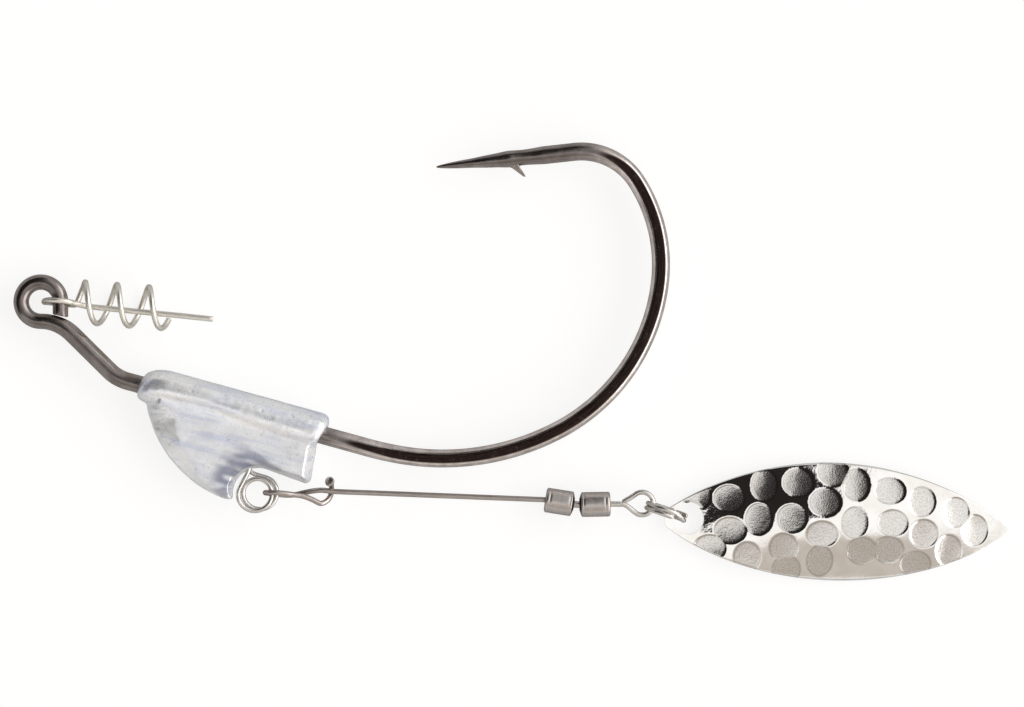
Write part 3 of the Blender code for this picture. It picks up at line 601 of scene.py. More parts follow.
for n, (radius, turn) in enumerate(BEND):
    steps = max(6, round(turn / 1.6))
    for i, (p, f) in enumerate(arc(*stations[-1][:2], radius, turn, steps)):
        pressed = 1.0
        if n == 0:
            pressed = 0.6 + 0.4 * ease(0, steps, i + 1)
        if n == len(BEND) - 1:
            pressed = 1 - ease(0, steps, i + 1)
        stations.append((p, f, HOOK_WIRE, pressed))
spot, facing = stations[-1][:2]
fine_taper = smooth_path([Vector((left, width, 0)) for left, width in TAPER], 12)
for q in fine_taper:
    stations.append((spot + heading(facing) * (SPEAR - q.x), facing, q.y, 0))
point = spot + heading(facing) * SPEAR
print("hook stations:", len(stations))

# %% [markdown]
# The round sweep is pressed by squashing the points that lie above and below
# the flats, with a soft shoulder so that the edge of each flat catches light.
# The barb is cut from the spear's own metal: the points of its inner side are
# drawn out into a thin thorn that leans back. A separate thorn would need a
# join, and this one can't show a seam.

# %% sweep the wire and press the bend flat
bm = fresh()
mats = []
for p, f, width, pressed in stations:
    turn = Matrix.Rotation(math.radians(f), 4, "Z") @ UPRIGHT
    half = width / 2
    mats.append(Matrix.Translation(p) @ turn @ Matrix.Diagonal((half, half, half, 1)))
rings = sweep(bm, mats, 48)
mask_layer = bm.verts.layers.float["mask"]
for ring, (p, f, width, pressed) in zip(rings, stations):
    limit = width / 2 + (FORGED / 2 - width / 2) * pressed
    for v in ring:
        up = abs(v.co.z) / (width / 2)
        share = abs(v.co.z) / limit
        # painted dark reflection: the mask grows toward the top and bottom of the round wire and is full
        # on the pressed flats
        painted_round_reflection = 0.37 + 0.14 * ease(0.35, 1.0, up)
        v[mask_layer] = pressed * ease(0.96, 1.09, share) + (1 - pressed) * painted_round_reflection
        if pressed > 0:
            if share > 0.90:
                share = 0.90 + 0.10 * (1 - math.exp(-(share - 0.90) / 0.06))
            v.co.z = math.copysign(limit * share, v.co.z)
for v in rings[0] + rings[1] + rings[2]:
    v.co.y -= EYE_CUT_SLOPE * (v.co.x - EYE_RADIUS)
print("rings swept:", len(rings))

# %% draw out the barb
forward = heading(facing)
inward = Vector((-forward.y, forward.x, 0))
for v in [v for ring in rings[-len(fine_taper):] for v in ring]:
    back = (point - v.co).dot(forward)
    away = (v.co - point).dot(inward)
    if BARB_FRONT < back < BARB_BACK + 0.3 and away > 0:
        climb = min(1.0, ease(BARB_FRONT - 0.5, BARB_BACK + 0.5, back) ** 2.2 * 2.4)
        climb *= ease(BARB_FRONT, BARB_FRONT + 0.5, back)
        fall = 1 - ease(BARB_BACK, BARB_BACK + 0.10, back)
        thin = max(0.0, 1 - (2 * v.co.z / BARB_THICK) ** 2) ** 1.2
        lift = BARB_RISE * climb * fall * thin
        v.co += (inward - forward * BARB_LEAN) * lift
place(bm, "hook_wire", "lure", "hook", home(HOOK_EYE), black_nickel)

# %% [markdown]
# ## The weight
#
# A sleeve round the shank and a keel plate under it are joined, then melted
# together on a fine grid so that every edge gets the soft radius of a casting.
# Bevels would give each edge the same radius and fail where sleeve and keel
# meet at a shallow angle. After that the weight is bored for the shank and for
# the two legs of the hanger.

# %% loft the sleeve along the shank
WEIGHT_HOME = Matrix.Translation(shank_start + heading(shank_facing) * WEIGHT_SETBACK)
WEIGHT_HOME = WEIGHT_HOME @ Matrix.Rotation(math.radians(shank_facing), 4, "Z")
# (along the shank, middle, half height, share of the full depth)
SLEEVE_STATIONS = (
    (0.30, -0.28, 0.80, 0.42), (0.42, -0.25, 1.12, 0.58), (0.80, -0.05, 1.52, 0.76),
    (1.45, 0.10, 1.80, 0.90), (2.40, 0.22, 1.94, 0.975), (3.20, 0.25, 1.97, 1.0),
    (7.70, 0.42, 1.80, 1.0), (12.2, 0.12, 2.10, 1.0),
    (19.45, -0.10, 2.32, 1.0), (19.95, -0.06, 2.12, 0.95), (20.2, 0.0, 1.67, 0.80),
)


def sleeve():
    bm = fresh()
    first = bmesh.ops.create_circle(bm, cap_ends=True, radius=1.0, segments=64, matrix=UPRIGHT)
    base = [v.co.copy() for v in first["verts"]]
    verts = list(first["verts"])
    edges = bm.edges[:]
    for n, (along, middle, tall, deep) in enumerate(SLEEVE_STATIONS):
        if n:
            verts, edges = next_ring(bm, edges)
        for v, way in zip(verts, base):
            y = middle + tall * way.y
            z = way.z * WEIGHT_DEPTH / 2 * deep
            lean = 0.34 * min(0.0, y - 0.9) if n >= len(SLEEVE_STATIONS) - 3 else 0.0
            v.co = Vector((along + lean, y, z))
    bmesh.ops.edgeloop_fill(bm, edges=edges)
    return bm


print("sleeve length:", SLEEVE_STATIONS[-1][0] - SLEEVE_STATIONS[0][0], "mm")

# %% draw the keel's outline and give it thickness
KEEL_NOSE = Vector((1.50, -1.75))
KEEL_TIP = Vector((11.9, -9.05))
KEEL_SAG = 1.70
KEEL_TAIL = ((19.55, -5.30, 0.8), (20.0, -4.95, 0.9), (19.58, -1.0, 0.8), (19.40, 0.2, 0.6),
             (3.1, 0.2, 0.6))
RIM_HALF = 0.5
NOTCH_RADIUS = HANGER_RADIUS + HANGER_WIRE / 2 + 0.855
NOTCH_START = 204


def keel_line():
    """(place, width of the bevel) round the keel, from nose to tail."""
    a, b = KEEL_NOSE, KEEL_TIP
    radius = (b - a).length ** 2 / (8 * KEEL_SAG) + KEEL_SAG / 2
    across = Vector(((b - a).y, -(b - a).x)).normalized()
    centre = (a + b) / 2 + across * (KEEL_SAG - radius)
    begin = math.atan2(a.y - centre.y, a.x - centre.x) % math.tau
    end = math.atan2(b.y - centre.y, b.x - centre.x) % math.tau
    out = [(Vector((1.95, -0.75)), 0.9)]
    for i in range(31):
        way = begin + (end - begin) * i / 30
        wide = min(1.5 + 1.3 * math.sin(math.pi * min(1.0, (i / 3 + 1) / 8)), 0.20 + 0.30 * (10 - i / 3))
        out.append((centre + Vector((math.cos(way), math.sin(way))) * radius, wide))
    low_edge = (HANGER_AT + heading(NOTCH_START) * NOTCH_RADIUS).to_2d()
    out.append((Vector((low_edge.x - 0.12, -8.95)), 0.12))
    for i in range(28):
        p = HANGER_AT + heading(NOTCH_START - 112 * i / 27) * NOTCH_RADIUS
        out.append((p.to_2d(), min(0.55, 0.15 + 0.20 * i / 3)))
    out += [(Vector((x, y)), wide) for x, y, wide in KEEL_TAIL]
    return out


def keel():
    bm = fresh()
    line = keel_line()
    rim = bm.faces.new([bm.verts.new((p.x, p.y, -RIM_HALF)) for p, w in line])
    base = list(rim.verts)
    inner = []
    for i, (p, w) in enumerate(line):
        way = (line[(i + 1) % len(line)][0] - line[i - 1][0]).normalized()
        inner.append(p + Vector((-way.y, way.x)) * w)
    grown = bmesh.ops.extrude_face_region(bm, geom=[rim])["geom"]
    top = [g for g in grown if isinstance(g, bmesh.types.BMVert)]
    for b, q in zip(base, inner):
        near = min(top, key=lambda v: (v.co - b.co).length)
        top.remove(near)
        near.co = Vector((q.x, q.y, -(4.60 + 0.26 * q.y) / 2))
    for f in [f for f in bm.faces if len(f.verts) == len(line)]:
        if all(abs(v.co.z + RIM_HALF) < 1e-6 for v in f.verts):
            bm.faces.remove(f)
    made = bmesh.ops.duplicate(bm, geom=bm.verts[:] + bm.edges[:] + bm.faces[:])["geom"]
    other = [g for g in made if isinstance(g, bmesh.types.BMVert)]
    bmesh.ops.scale(bm, vec=(1, 1, -1), verts=other)
    bmesh.ops.bridge_loops(bm, edges=[e for e in bm.edges if e.is_boundary])
    return bm


def helper(bm, name):
    bmesh.ops.recalc_face_normals(bm, faces=bm.faces)
    mesh = bpy.data.meshes.new(name)
    bm.to_mesh(mesh)
    bm.free()
    item = bpy.data.objects.new(name, mesh)
    bpy.context.scene.collection.objects.link(item)
    item.hide_render = True
    return item


print("keel outline points:", len(keel_line()))

# %% the path of the hanger, needed for its two sockets
PITCH = 0.52
DRIFT = (0.47, 0.15)
MOUTH = Vector((-1.06, 2.33, 0))


def hanger_path(per):
    up = Vector((math.sin(math.radians(15.43)), math.cos(math.radians(15.43)), 0))
    begin, end = 154.0, 790.0
    deep = PITCH * (end - begin) / 720
    front = Vector((0, 0, deep))
    aside = Vector((0.12, 0, 0))
    out = [MOUTH + up * 1.9 + front, MOUTH + up * 1.3 + front, MOUTH + front]
    for i in range(25):
        way = begin + (end - begin) * i / 24
        share = (way - begin) / 360
        p = Vector((DRIFT[0] * (share - 1.07), DRIFT[1] * (share - 1.07), 0))
        p = p + heading(way) * HANGER_RADIUS
        p.z = deep - PITCH * share
        out.append(p)
    out += [MOUTH - front + aside, MOUTH + up * 1.3 - front + aside, MOUTH + up * 1.9 - front + aside]
    return smooth_path(out, per)


leg_path = hanger_path(6)
print("hanger stations:", len(leg_path))

# %% join, melt and bore the weight
body = helper(sleeve(), "weight_rough")
plate = helper(keel(), "weight_keel")
join = body.modifiers.new("Join", "BOOLEAN")
join.operation = "UNION"
join.solver = "EXACT"
join.object = plate
melt = body.modifiers.new("Melt", "REMESH")
melt.mode = "VOXEL"
melt.voxel_size = 0.12
soften = body.modifiers.new("Soften", "SMOOTH")
soften.factor = 0.5
soften.iterations = 13
bm = fresh()
bored = HOOK_WIRE / 2 + 0.03
bmesh.ops.create_cone(bm, cap_ends=True, segments=48, radius1=bored, radius2=bored, depth=26.0,
                      matrix=Matrix.Translation((10.0, 0, 0)) @ UPRIGHT)
bore = helper(bm, "weight_bore")
cutters = [bore]
to_weight = Matrix.Translation(HANGER_AT) @ Matrix.Rotation(-math.radians(shank_facing), 4, "Z")
for part in (leg_path[:14], leg_path[-14:]):
    bm = fresh()
    sweep(bm, [to_weight @ m for m in wire_mats(part, [HANGER_WIRE + 0.06] * len(part))], 20)
    cutters.append(helper(bm, "weight_socket"))
for cutter in cutters:
    cut = body.modifiers.new("Cut", "BOOLEAN")
    cut.operation = "DIFFERENCE"
    cut.solver = "EXACT"
    cut.object = cutter
print("modifiers on the weight:", len(body.modifiers))

# %% give the casting its skin
bpy.context.view_layer.update()
shaped = body.evaluated_get(bpy.context.evaluated_depsgraph_get())
bm = bmesh.new()
bm.from_mesh(shaped.to_mesh())
shaped.to_mesh_clear()
layers = bm.verts.layers
grain_layer = layers.float_vector.get("grain") or layers.float_vector.new("grain")
mask_layer = layers.float.get("mask") or layers.float.new("mask")
bm.normal_update()
# middle of the painted dark reflection by the hanger's notch
PAINTED_POOL_MIDDLE = (HANGER_AT + Vector((-1.4, 0.8, 0))).to_2d()
for v in bm.verts:
    spot = v.co.copy()
    v[grain_layer] = spot
    # painted dark reflection: a ragged patch by the hanger's notch, carried by the mask
    painted_dark_pool = 1 - ease(2.7, 4.6, (spot.to_2d() - PAINTED_POOL_MIDDLE).length)
    ragged = 0.5 + 0.5 * noise.noise(Vector((spot.x * 0.5, spot.y * 1.4, 3)))
    # painted shade: the keel's flat face below the sleeve, chosen by its slope, gets a little of the
    # mask
    face = 0.22 * ease(0.90, 0.985, abs(v.normal.z)) * ease(-0.6, -1.6, spot.y)
    v[mask_layer] = max(face, painted_dark_pool * ease(0.25, 0.75, ragged + 0.18) * ease(0.6, 1.4, abs(spot.z)))
    if abs(spot.y) > 1.05 or abs(spot.z) > 1.05:
        long_wave = noise.noise(Vector((spot.x * 0.35, spot.y * 1.1, spot.z * 0.9)))
        short_wave = noise.noise(spot * 1.9)
        pit = max(0.0, noise.noise(spot * 2.3 + Vector((7, 3, 1))) - 0.50)
        v.co += v.normal * (0.022 * long_wave + 0.007 * short_wave - 0.10 * pit)
        v.co.z = max(-WEIGHT_DEPTH / 2, min(WEIGHT_DEPTH / 2, v.co.z))
for item in [body, plate] + cutters:
    bpy.data.objects.remove(item, do_unlink=True)
place(bm, "cast_keel_weight", "lure", "keel_weight", home(HOOK_EYE) @ WEIGHT_HOME,
      bright_lead, 50)

# %% [markdown]
# ## The hanger under the keel
#
# Two turns of wire whose legs run up into the lead. Its path was already needed
# for the two sockets in the weight, so only the sweep is left.

# %% make the hanger
bm = fresh()
sweep(bm, wire_mats(leg_path, [HANGER_WIRE] * len(leg_path)), 28)
place(bm, "hanger_loop_wire", "lure", "hanger_loop", home(HANGER), pale_wire)

# %% [markdown]
# ## The keeper on the line eye
#
# A straight pin that a soft bait is pushed on to, folded round the eye's wire,
# then wound back over the pin as an open coil. The fold is a few points that a
# smooth line runs through, and the coil is a helix worked out in a loop.

# %% the keeper's path
PIN = 17.9
COIL_TURNS = 2.66
COIL_PITCH = 3.32
COIL_LIFT = 0.38
deep = (EYE_WIRE + SPRING_WIRE) / 2 + 0.08
near = EYE_RADIUS - EYE_WIRE / 2 - 0.58 - SPRING_WIRE / 2
over = EYE_RADIUS
coil_start = 4.36
line = [(PIN, 0, 0), (PIN * 0.8, 0.02, 0), (PIN * 0.6, 0, 0), (5.2, 0, 0), (4.5, 0.03, 0.03)]
line += [(over + 1.65, 0.16, 0.30), (over + 0.95, 0.29, deep * 0.76), (over, 0.30, deep)]
line += [(near + 0.72, 0.27, deep * 0.88), (near + 0.16, 0.14, deep * 0.48), (near, 0, 0)]
line += [(near + 0.16, 0, -deep * 0.48), (near + 0.72, 0, -deep * 0.88), (over, 0, -deep)]
line += [(over + 0.95, 0, -deep * 0.80), (over + 1.50, 0.12, -0.86)]
for way, share in ((-62, 0.58), (-32, 0.81)):
    turn = math.radians(way)
    reach = SPRING_RADIUS * share
    back = (coil_start - over - 1.50) * way / 90
    line.append((coil_start + back, COIL_LIFT + reach * math.cos(turn), reach * math.sin(turn)))
for i in range(33):
    turn = math.tau * COIL_TURNS * i / 32
    along = COIL_PITCH * turn / math.tau
    line.append((coil_start + along, COIL_LIFT + 0.028 * along + SPRING_RADIUS * math.cos(turn),
                 SPRING_RADIUS * math.sin(turn)))
path = smooth_path(line, 8)
print("keeper stations:", len(path))

# %% make the keeper


def rounded_ends(points, widths):
    """Give a cut wire a small worn edge at both ends."""
    for _ in range(2):
        points.reverse()
        widths.reverse()
        tip = points.pop()
        size = widths.pop()
        line = (tip - points[-1]).normalized()
        for back, share in ((0.084, 1.0), (0.0252, 0.93), (0.0, 0.80)):
            points.append(tip - line * back * size)
            widths.append(size * share)


widths = [SPRING_WIRE] * len(path)
rounded_ends(path, widths)
bm = fresh()
sweep(bm, wire_mats(path, widths), 28)
place(bm, "keeper_pin_and_coil", "keeper", "centering_pin_spring", home(HOOK_EYE, -5.8),
      cream_wire)

# %% [markdown]
# ## The arm
#
# It hooks through the hanger, crosses itself once and curls its free end over
# the shaft. The far end runs into the first drum and ends in a head. The fold
# climbs to one side of the hanger and comes back on the other, clear by
# `reach`, so the two wires never touch.

# %% the arm's path
reach = PITCH * 0.72 + (HANGER_WIRE + ARM_WIRE) / 2 + 0.12
inner = HANGER_RADIUS - HANGER_WIRE / 2 - DRIFT[0] / 2 - ARM_WIRE / 2 - 0.19
w = ARM_WIRE + 0.04
line = [(7.24, 1.62, w * 0.85), (7.40, 1.52, 0.08), (7.46, 1.15, -w * 0.62)]
line += [(7.48, 0.72, -w * 1.05), (7.45, 0.235, -w), (7.16, -0.348, -w * 0.45)]
line += [(6.47, -0.72, 0.10), (5.60, -0.358, 0.26), (4.65, -0.033, 0.38)]
line += [(3.60, 0.10, reach * 0.60), (2.80, 0.19, reach * 0.86), (1.95, 0.25, reach)]
line += [(1.25, 0.25, reach * 0.90), (inner + 0.10, 0.20, reach * 0.48), (inner, 0.16, 0)]
line += [(inner + 0.10, 0.12, -reach * 0.48), (1.25, 0.06, -reach * 0.90)]
line += [(1.95, 0.0, -reach), (2.80, -0.05, -reach * 0.84), (3.72, 0.05, -reach * 0.56)]
line += [(4.75, 0.334, -0.34), (5.70, 0.55, -0.16), (6.60, ARM_OFFSET + 0.08, -0.03)]
line += [(7.95, ARM_OFFSET, 0.0), (12.0, ARM_OFFSET, 0), (17.0, ARM_OFFSET, 0), (22.0, ARM_OFFSET, 0)]
path = smooth_path(line, 8)
widths = [ARM_WIRE * (1.0 + 0.85 * (1 - ease(2, 14, i))) for i in range(len(path))]
widths[0] = ARM_WIRE * 1.1
widths[1] = ARM_WIRE * 1.6
end = ARM_LENGTH + DRUM_WALL + 0.10
for x, d in ((end - 3.0, ARM_WIRE), (end, ARM_WIRE), (end + 0.02, 0.92), (end + 0.08, 1.15),
             (end + 0.35, 1.15), (end + 0.45, 0.86)):
    path.append(Vector((x, ARM_OFFSET, 0)))
    widths.append(d)
print("arm stations:", len(path))

# %% make the arm
bm = fresh()
sweep(bm, wire_mats(path, widths), 28)
slope = math.asin((HANGER.z - FRONT_DRUM.z) / ARM_LENGTH)
place(bm, "spinner_arm_wire", "arm", "spinner_arm",
      home(HANGER, -2.28) @ Matrix.Rotation(slope, 4, "Y"), warm_wire)

# %% [markdown]
# ## The swivel's two drums
#
# Each is an open shell with a rolled rim at the wire's side and a crimped
# shoulder at the waist, and two shallow rings turned into its wall. A turned
# part is best made as it is on the lathe: one profile spun round its axis. The
# heads of the wires and of the pin turn freely inside.

# %% make the drums


def drum(length, flat_bore, waist_bore, flip):
    """One drum: bores for the wire and the waist, flipped for the rear one."""
    r = DRUM / 2
    cave = r - DRUM_WALL
    s = 0.28  # length of the crimped shoulder
    outside = [(0.0, flat_bore), (0.0, r - 0.30), (0.015, r - 0.22), (0.05, r - 0.12),
               (0.10, r - 0.05), (0.18, r - 0.01), (0.27, r), (0.40, r), (0.44, r - 0.022),
               (0.50, r - 0.022), (0.54, r)]
    steps = 10
    for i in range(1, steps):
        outside.append((0.54 + (length - s - 0.80) * i / steps, r - 0.006 * (i % 2)))
    outside += [(length - s - 0.22, r), (length - s - 0.18, r - 0.02), (length - s - 0.12, r - 0.02),
                (length - s - 0.08, r), (length - s, r - 0.01), (length - s * 0.80, r - 0.06),
                (length - s * 0.45, r - 0.28), (length - s * 0.12, 0.70), (length, 0.63)]
    inside = [(length, waist_bore), (length - DRUM_WALL, waist_bore),
              (length - s - 0.24, cave), (DRUM_WALL, cave), (DRUM_WALL, flat_bore)]
    profile = outside + inside
    if flip:
        profile = [(length - x, d) for x, d in profile]
    bm = fresh()
    lathe(bm, profile)
    layer = bm.verts.layers.float["mask"]
    # painted shade: the mask is full on the crimped shoulder at the waist and fades within 0.3 mm
    for v in bm.verts:
        far = v.co.x if flip else length - v.co.x
        v[layer] = 1 - ease(0.05, 0.30, far)
    return bm


place(drum(3.02, 0.377, 0.452, False), "front_drum", "drum_front", "front_barrel",
      home(FRONT_DRUM, -9.0), black_brass)
place(drum(3.20, 0.392, 0.452, True), "rear_drum", "drum_rear", "rear_barrel",
      home(REAR_DRUM, 1.0), black_brass)

# %% make the pin between the drums
bm = fresh()
a, b, t = -0.45, 0.56 + 0.42, 0.40
lathe(bm, [(a - t, 0), (a - t, 0.42), (a - t * 0.9, 0.52), (a - t * 0.7, 0.57), (a - t * 0.2, 0.57),
           (a - 0.02, 0.51), (a, 0.42), (a + 0.05, 0.36), (a + 0.12, 0.35), (b - 0.12, 0.35),
           (b - 0.05, 0.36), (b, 0.42), (b + 0.02, 0.51), (b + t * 0.2, 0.57), (b + t * 0.7, 0.57),
           (b + t * 0.9, 0.52), (b + t, 0.42), (b + t, 0)], 48)
place(bm, "link_pin_turned", "link", "link_pin", home(LINK, -3.5), black_brass)

# %% [markdown]
# ## The swivel's eye
#
# A headed stem whose wire is bent into a loop and closed against the stem. The
# loop's arc is worked out, and the smooth line draws the straight sides in to
# the stem as a teardrop.

# %% make the swivel's eye
path = [Vector((x, 0, 0)) for x in (-0.85, -0.82, -0.76, -0.49, -0.42, -0.40, -0.30, 0.30)]
widths = [0.90, 1.08, 1.24, 1.24, 0.99, 0.62, 0.58, 0.58]
corner = LOOP_REACH - LOOP_RADIUS * 1.48
loop = [Vector((0.75, -0.02, 0)), Vector((corner, -0.12, 0))]
for i in range(23):
    loop.append(Vector((LOOP_REACH, 0, 0)) + heading(228 + 264 * i / 22) * LOOP_RADIUS)
loop += [Vector((1.92, 0.52, 0)), Vector((1.56, 0.36, 0)), Vector((1.24, 0.30, 0))]
bend = smooth_path(loop, 5)
path += bend
widths += [LOOP_WIRE + (0.58 - LOOP_WIRE) * (1 - ease(0, 6, i)) for i in range(len(bend))]
for n in range(1, 8):
    widths[-n] = LOOP_WIRE * (0.45 + 0.55 * ease(0, 8, n))
bm = fresh()
sweep(bm, wire_mats(path, widths), 28)
place(bm, "swivel_eye_wire", "eye", "swivel_eye", home(SWIVEL_EYE, 1.0), pale_wire)

# %% [markdown]
# ## The split ring
#
# Nearly two turns of wire. Each turn lies flat until the ramp, where the wire
# steps across to the other side, as on a key ring. The ring stands on edge on
# the table, through the swivel's eye and the hole of the blade.

# %% make the split ring
outer = RING_OUTSIDE / 2
inside = outer - RING_WIRE
rise = outer - RING.z
side = (RING_WIRE + 0.03) / 2
hug = inside - LOOP_WIRE / 2 - 0.03
middle = math.sqrt(LOOP_RADIUS ** 2 - side ** 2) + math.sqrt(hug ** 2 - rise ** 2) * 0.985
radius = (RING_OUTSIDE - RING_WIRE) / 2
path = []
for i in range(241):
    way = 50 + 670 * i / 240
    share = ease(0, 1, (way - 360) / 50)
    turn = math.radians(way + 20)
    path.append(Vector((middle + radius * math.cos(turn), side * (2 * share - 1),
                        rise + radius * math.sin(turn))))
widths = [RING_WIRE] * len(path)
for n, share in ((0, 0.70), (1, 0.94), (-1, 0.70), (-2, 0.94)):
    widths[n] = RING_WIRE * share
bm = fresh()
sweep(bm, wire_mats(path, widths), 28)
place(bm, "split_ring_wire", "ring", "split_ring", home(RING, -18.6), pale_wire)

# %% [markdown]
# ## The blade
#
# A willow leaf of plated brass sheet, domed and struck all over with a round
# punch. The punch pushes the sheet through, so each dent in front is a low bump
# behind. The strikes overlap the edge, and later ones cut into earlier ones. A
# fine grid is drawn to the leaf's outline and every point is sunk by its
# distance from the strikes, because real hollows bend the reflections and a
# painted bump would not.

# %% where the punch struck, along and across the leaf in millimetres
STRIKES = (
    (0.7, 2.4), (4.1, 2.3), (7.7, 3.8), (11.2, 4.2), (14.8, 5.5), (17.2, 4.2), (20.7, 3.7),
    (24.1, 2.7), (27.7, 1.7), (4.3, -1.0), (7.2, 0.3), (10.6, 0.5), (14.0, 2.3), (17.1, 0.3),
    (21.1, 0.4), (24.4, -0.6), (29.8, -0.1), (2.3, -2.9), (6.2, -3.7), (9.9, -2.6),
    (13.8, -1.0), (13.7, -3.8), (18.0, -2.6), (20.8, -2.4), (27.1, -2.3), (23.7, -3.8),
    (10.3, -4.9),
)
END = BLADE_HOLE / 2 + BLADE_RIM
REACH = BLADE_HALF * 1.82
far = side + RING_WIRE / 2
sag = BLADE_HOLE / 2 - math.sqrt((BLADE_HOLE / 2) ** 2 - far ** 2)
BLADE_LIFT = outer - math.sqrt((inside - 0.03) ** 2 - (0.97 + sag) ** 2)


def blade_edge(x):
    along = (x - BLADE_HALF * 0.82) / BLADE_HALF
    leaf = BLADE_WIDTH / 2 * max(0.0, 1 - along * along) ** BLADE_FULLNESS
    into = x + END
    if into < BLADE_END:
        leaf = min(leaf, math.sqrt(max(0.0, BLADE_END ** 2 - (BLADE_END - into) ** 2)))
    return leaf


def blade_middle(x):
    return BLADE_BOW * max(0.0, math.sin(math.pi * x / REACH))


def blade_level(x, y):
    base = BLADE_LIFT * (REACH - x) / (REACH + END)
    begin = 1.0
    span = (REACH - begin) / 2
    along = (x - begin - span) / span
    across = y / (BLADE_WIDTH / 2)
    if x < begin:
        return base
    return base + BLADE_DOME * max(0.0, 1 - along * along) ** 1.25 * max(0.0, 1 - across * across)


def struck(x, y):
    """How deep the punch left the sheet here, and how surely this is a floor."""
    depth = 0.0
    floor = 0.0
    for n, (sx, sy) in enumerate(STRIKES):
        stretch = 1.0 + 0.10 * math.sin(n * 2.3)
        away = math.hypot((x - sx) / stretch, (y - sy) * stretch) / DENT_RADIUS
        if away < 1.12:
            bowl = 0.42 + 0.58 * max(0.0, 1 - away * away)
            depth = max(depth, DENT_DEPTH * bowl * (1 - ease(0.93, 1.06, away)))
            floor = max(floor, 1 - ease(0.90, 1.06, away))
    return depth, floor


def clear_of_hole(x, y):
    """0 at the hole and 1 half a millimetre away, so no strike bends its rim."""
    return ease(BLADE_HOLE / 2 + 0.05, BLADE_HOLE / 2 + 0.5, math.hypot(x, y))


print(f"strikes: {len(STRIKES)}, hole end lifted {BLADE_LIFT:.2f} mm")

# %% cut the sheet
ROWS = 300
COLS = 95
bm = fresh()
grain_layer = bm.verts.layers.float_vector["grain"]
mask_layer = bm.verts.layers.float["mask"]
sheet = bmesh.ops.create_grid(bm, x_segments=ROWS - 1, y_segments=COLS - 1, size=1.0)["verts"]
sheet = sorted(sheet, key=lambda v: (round(v.co.x, 5), round(v.co.y, 5)))
for n, v in enumerate(sheet):
    u = (n // COLS) / (ROWS - 1)
    u = u + ((1 - math.cos(math.pi * u)) / 2 - u) * 0.35
    x = (REACH + END) * u - END
    y = (2 * (n % COLS) / (COLS - 1) - 1) * blade_edge(x)
    v.co = Vector((x, y, 0))
bmesh.ops.remove_doubles(bm, verts=bm.verts, dist=0.004)
for v in bm.verts:
    v.co.y += blade_middle(v.co.x)
inside_hole = [f for f in bm.faces if f.calc_center_median().length < BLADE_HOLE / 2]
bmesh.ops.delete(bm, geom=inside_hole, context="FACES")
for v in bm.verts:
    if v.is_boundary and v.co.length < BLADE_HOLE / 2 + 0.4:
        v.co = v.co.normalized() * BLADE_HOLE / 2
print("faces in the sheet:", len(bm.faces))

# %% dome and strike it
for v in bm.verts:
    x, y = v.co.x, v.co.y
    v.co.z = blade_level(x, y - blade_middle(x))
    v[grain_layer] = Vector((x, y, 0))
    v[mask_layer] = struck(x, y)[1] * clear_of_hole(x, y)
grown = bmesh.ops.extrude_face_region(bm, geom=bm.faces[:])["geom"]
top = set(g for g in grown if isinstance(g, bmesh.types.BMVert))
for v in bm.verts:
    x, y = v.co.x, v.co.y
    depth = struck(x, y)[0] * clear_of_hole(x, y)
    if v in top:
        edge = abs(y - blade_middle(x)) / max(0.2, blade_edge(x))
        v.co.z += BLADE_THICK - depth - 0.10 * ease(0.965, 1.0, edge) ** 2
    else:
        v.co.z = max(v.co.z - depth * 0.8, 0.002)
place(bm, "willow_leaf_blade", "blade", "willow_blade", home(BLADE, -2.1), silver_plate,
      60)

# %% [markdown]
# ## Table, light and camera
#
# The lure lies on a white table and is seen from straight above. Polished metal
# shows its surroundings more than itself, so the light is a whole white tent
# and not a lamp or two: bright overhead and greyer at the horizon, with a
# beige wall below, one bright panel at the right, and a dark opening to the
# upper left, which is what the polished blade mirrors.

# %% the table
bm = bmesh.new()
bmesh.ops.create_grid(bm, x_segments=1, y_segments=1, size=0.6)
bmesh.ops.translate(bm, vec=(0, 0, -0.00005), verts=bm.verts)
mesh = bpy.data.meshes.new("table")
bm.to_mesh(mesh)
bm.free()
table = bpy.data.objects.new("table", mesh)
bpy.context.scene.collection.objects.link(table)
white = bpy.data.materials.new("table_white")
white.use_nodes = True
tree = white.node_tree
inputs = tree.nodes["Principled BSDF"].inputs
inputs["Base Color"].default_value = colour(0.25, 0.25, 0.25)
inputs["Roughness"].default_value = 1.0
inputs["Specular IOR Level"].default_value = 0.0
inputs["Emission Color"].default_value = colour(1.0, 0.998, 0.992)
seen = add(tree, "LightPath", out=0)
put(tree, inputs["Emission Strength"], spread(tree, seen, 0.0, 1.0, 0.36, 0.80, smooth=False))
mesh.materials.append(white)
print("table ready")

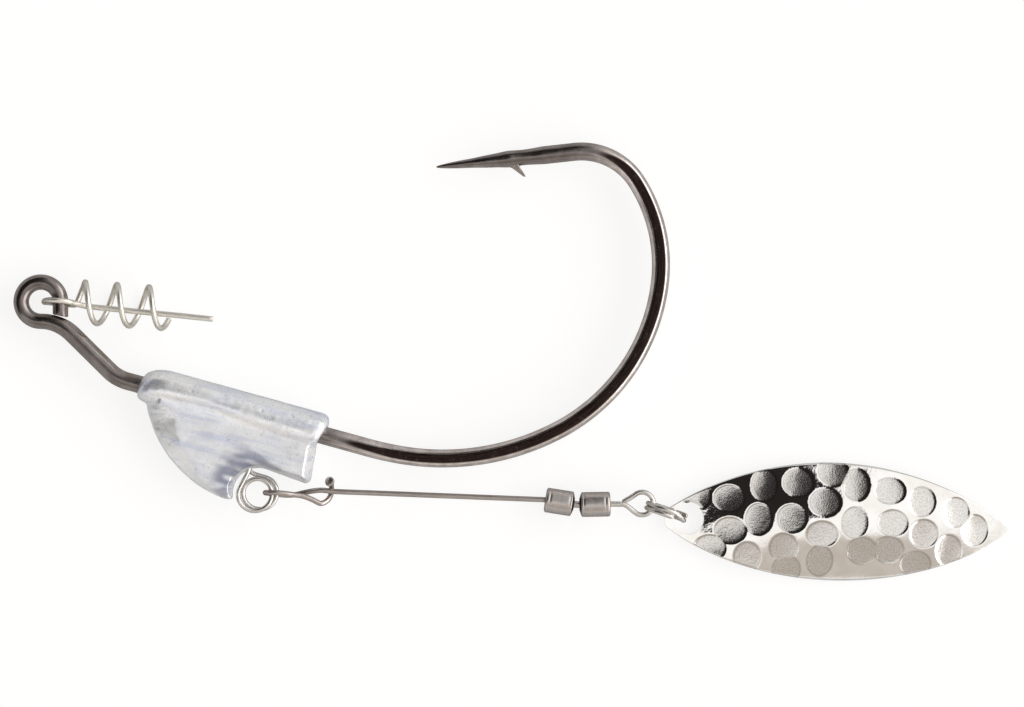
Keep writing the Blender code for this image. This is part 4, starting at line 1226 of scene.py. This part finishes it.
# %% the light tent
HORIZON = colour(0.40, 0.39, 0.38)
TENT_WHITE = colour(0.86, 0.85, 0.84)
BEIGE_WALL = colour(0.47, 0.43, 0.39)
OPENING = colour(0.016, 0.014, 0.013)
LAMP = colour(2.6, 2.55, 2.5)
world = bpy.data.worlds.new("light_tent")
bpy.context.scene.world = world
world.use_nodes = True
tree = world.node_tree
tent = tree.nodes["Background"].inputs
way = add(tree, "TexCoord", out=0)
parts = tree.nodes.new("ShaderNodeSeparateXYZ")
tree.links.new(way, parts.inputs[0])
sx, sy, sz = parts.outputs
lean = times(tree, sy, 0.16)
leftward = spread(tree, maths(tree, "SUBTRACT", sx, lean), 0.07, -0.01)
upward = spread(tree, maths(tree, "ADD", sy, times(tree, sx, -0.55)), 0.0, 0.09)
overhead = spread(tree, sz, 0.20, 0.36)
opening = times(tree, times(tree, leftward, upward), overhead)
below = spread(tree, maths(tree, "ADD", sy, times(tree, sx, -0.34)), -0.20, -0.48)
below = times(tree, below, spread(tree, sz, 0.25, 0.50))
tent_tone = blend(tree, spread(tree, sz, 0.02, 0.42), HORIZON, TENT_WHITE)
tent_tone = blend(tree, below, tent_tone, BEIGE_WALL)
tent_tone = blend(tree, opening, tent_tone, OPENING)
lamp = times(tree, spread(tree, sx, 0.50, 0.70), spread(tree, sz, 0.15, 0.32))
lamp = times(tree, lamp, spread(tree, sz, 0.82, 0.66))
tent_tone = blend(tree, lamp, tent_tone, LAMP)
put(tree, tent["Color"], tent_tone)
tent["Strength"].default_value = 1.25
print("light tent ready")

# %% the camera
lens = 110.0
across = 0.1063
camera_data = bpy.data.cameras.new("camera")
camera_data.lens = lens
camera_data.sensor_width = 36.0
camera_data.clip_start = 0.01
camera = bpy.data.objects.new("camera", camera_data)
camera.location = (-0.000103, 0.000888, across * lens / 36.0 + 0.0018)
bpy.context.scene.collection.objects.link(camera)
bpy.context.scene.camera = camera
bpy.context.scene.view_settings.view_transform = "Standard"
print("camera looks straight down from", round(camera.location.z, 3), "m")
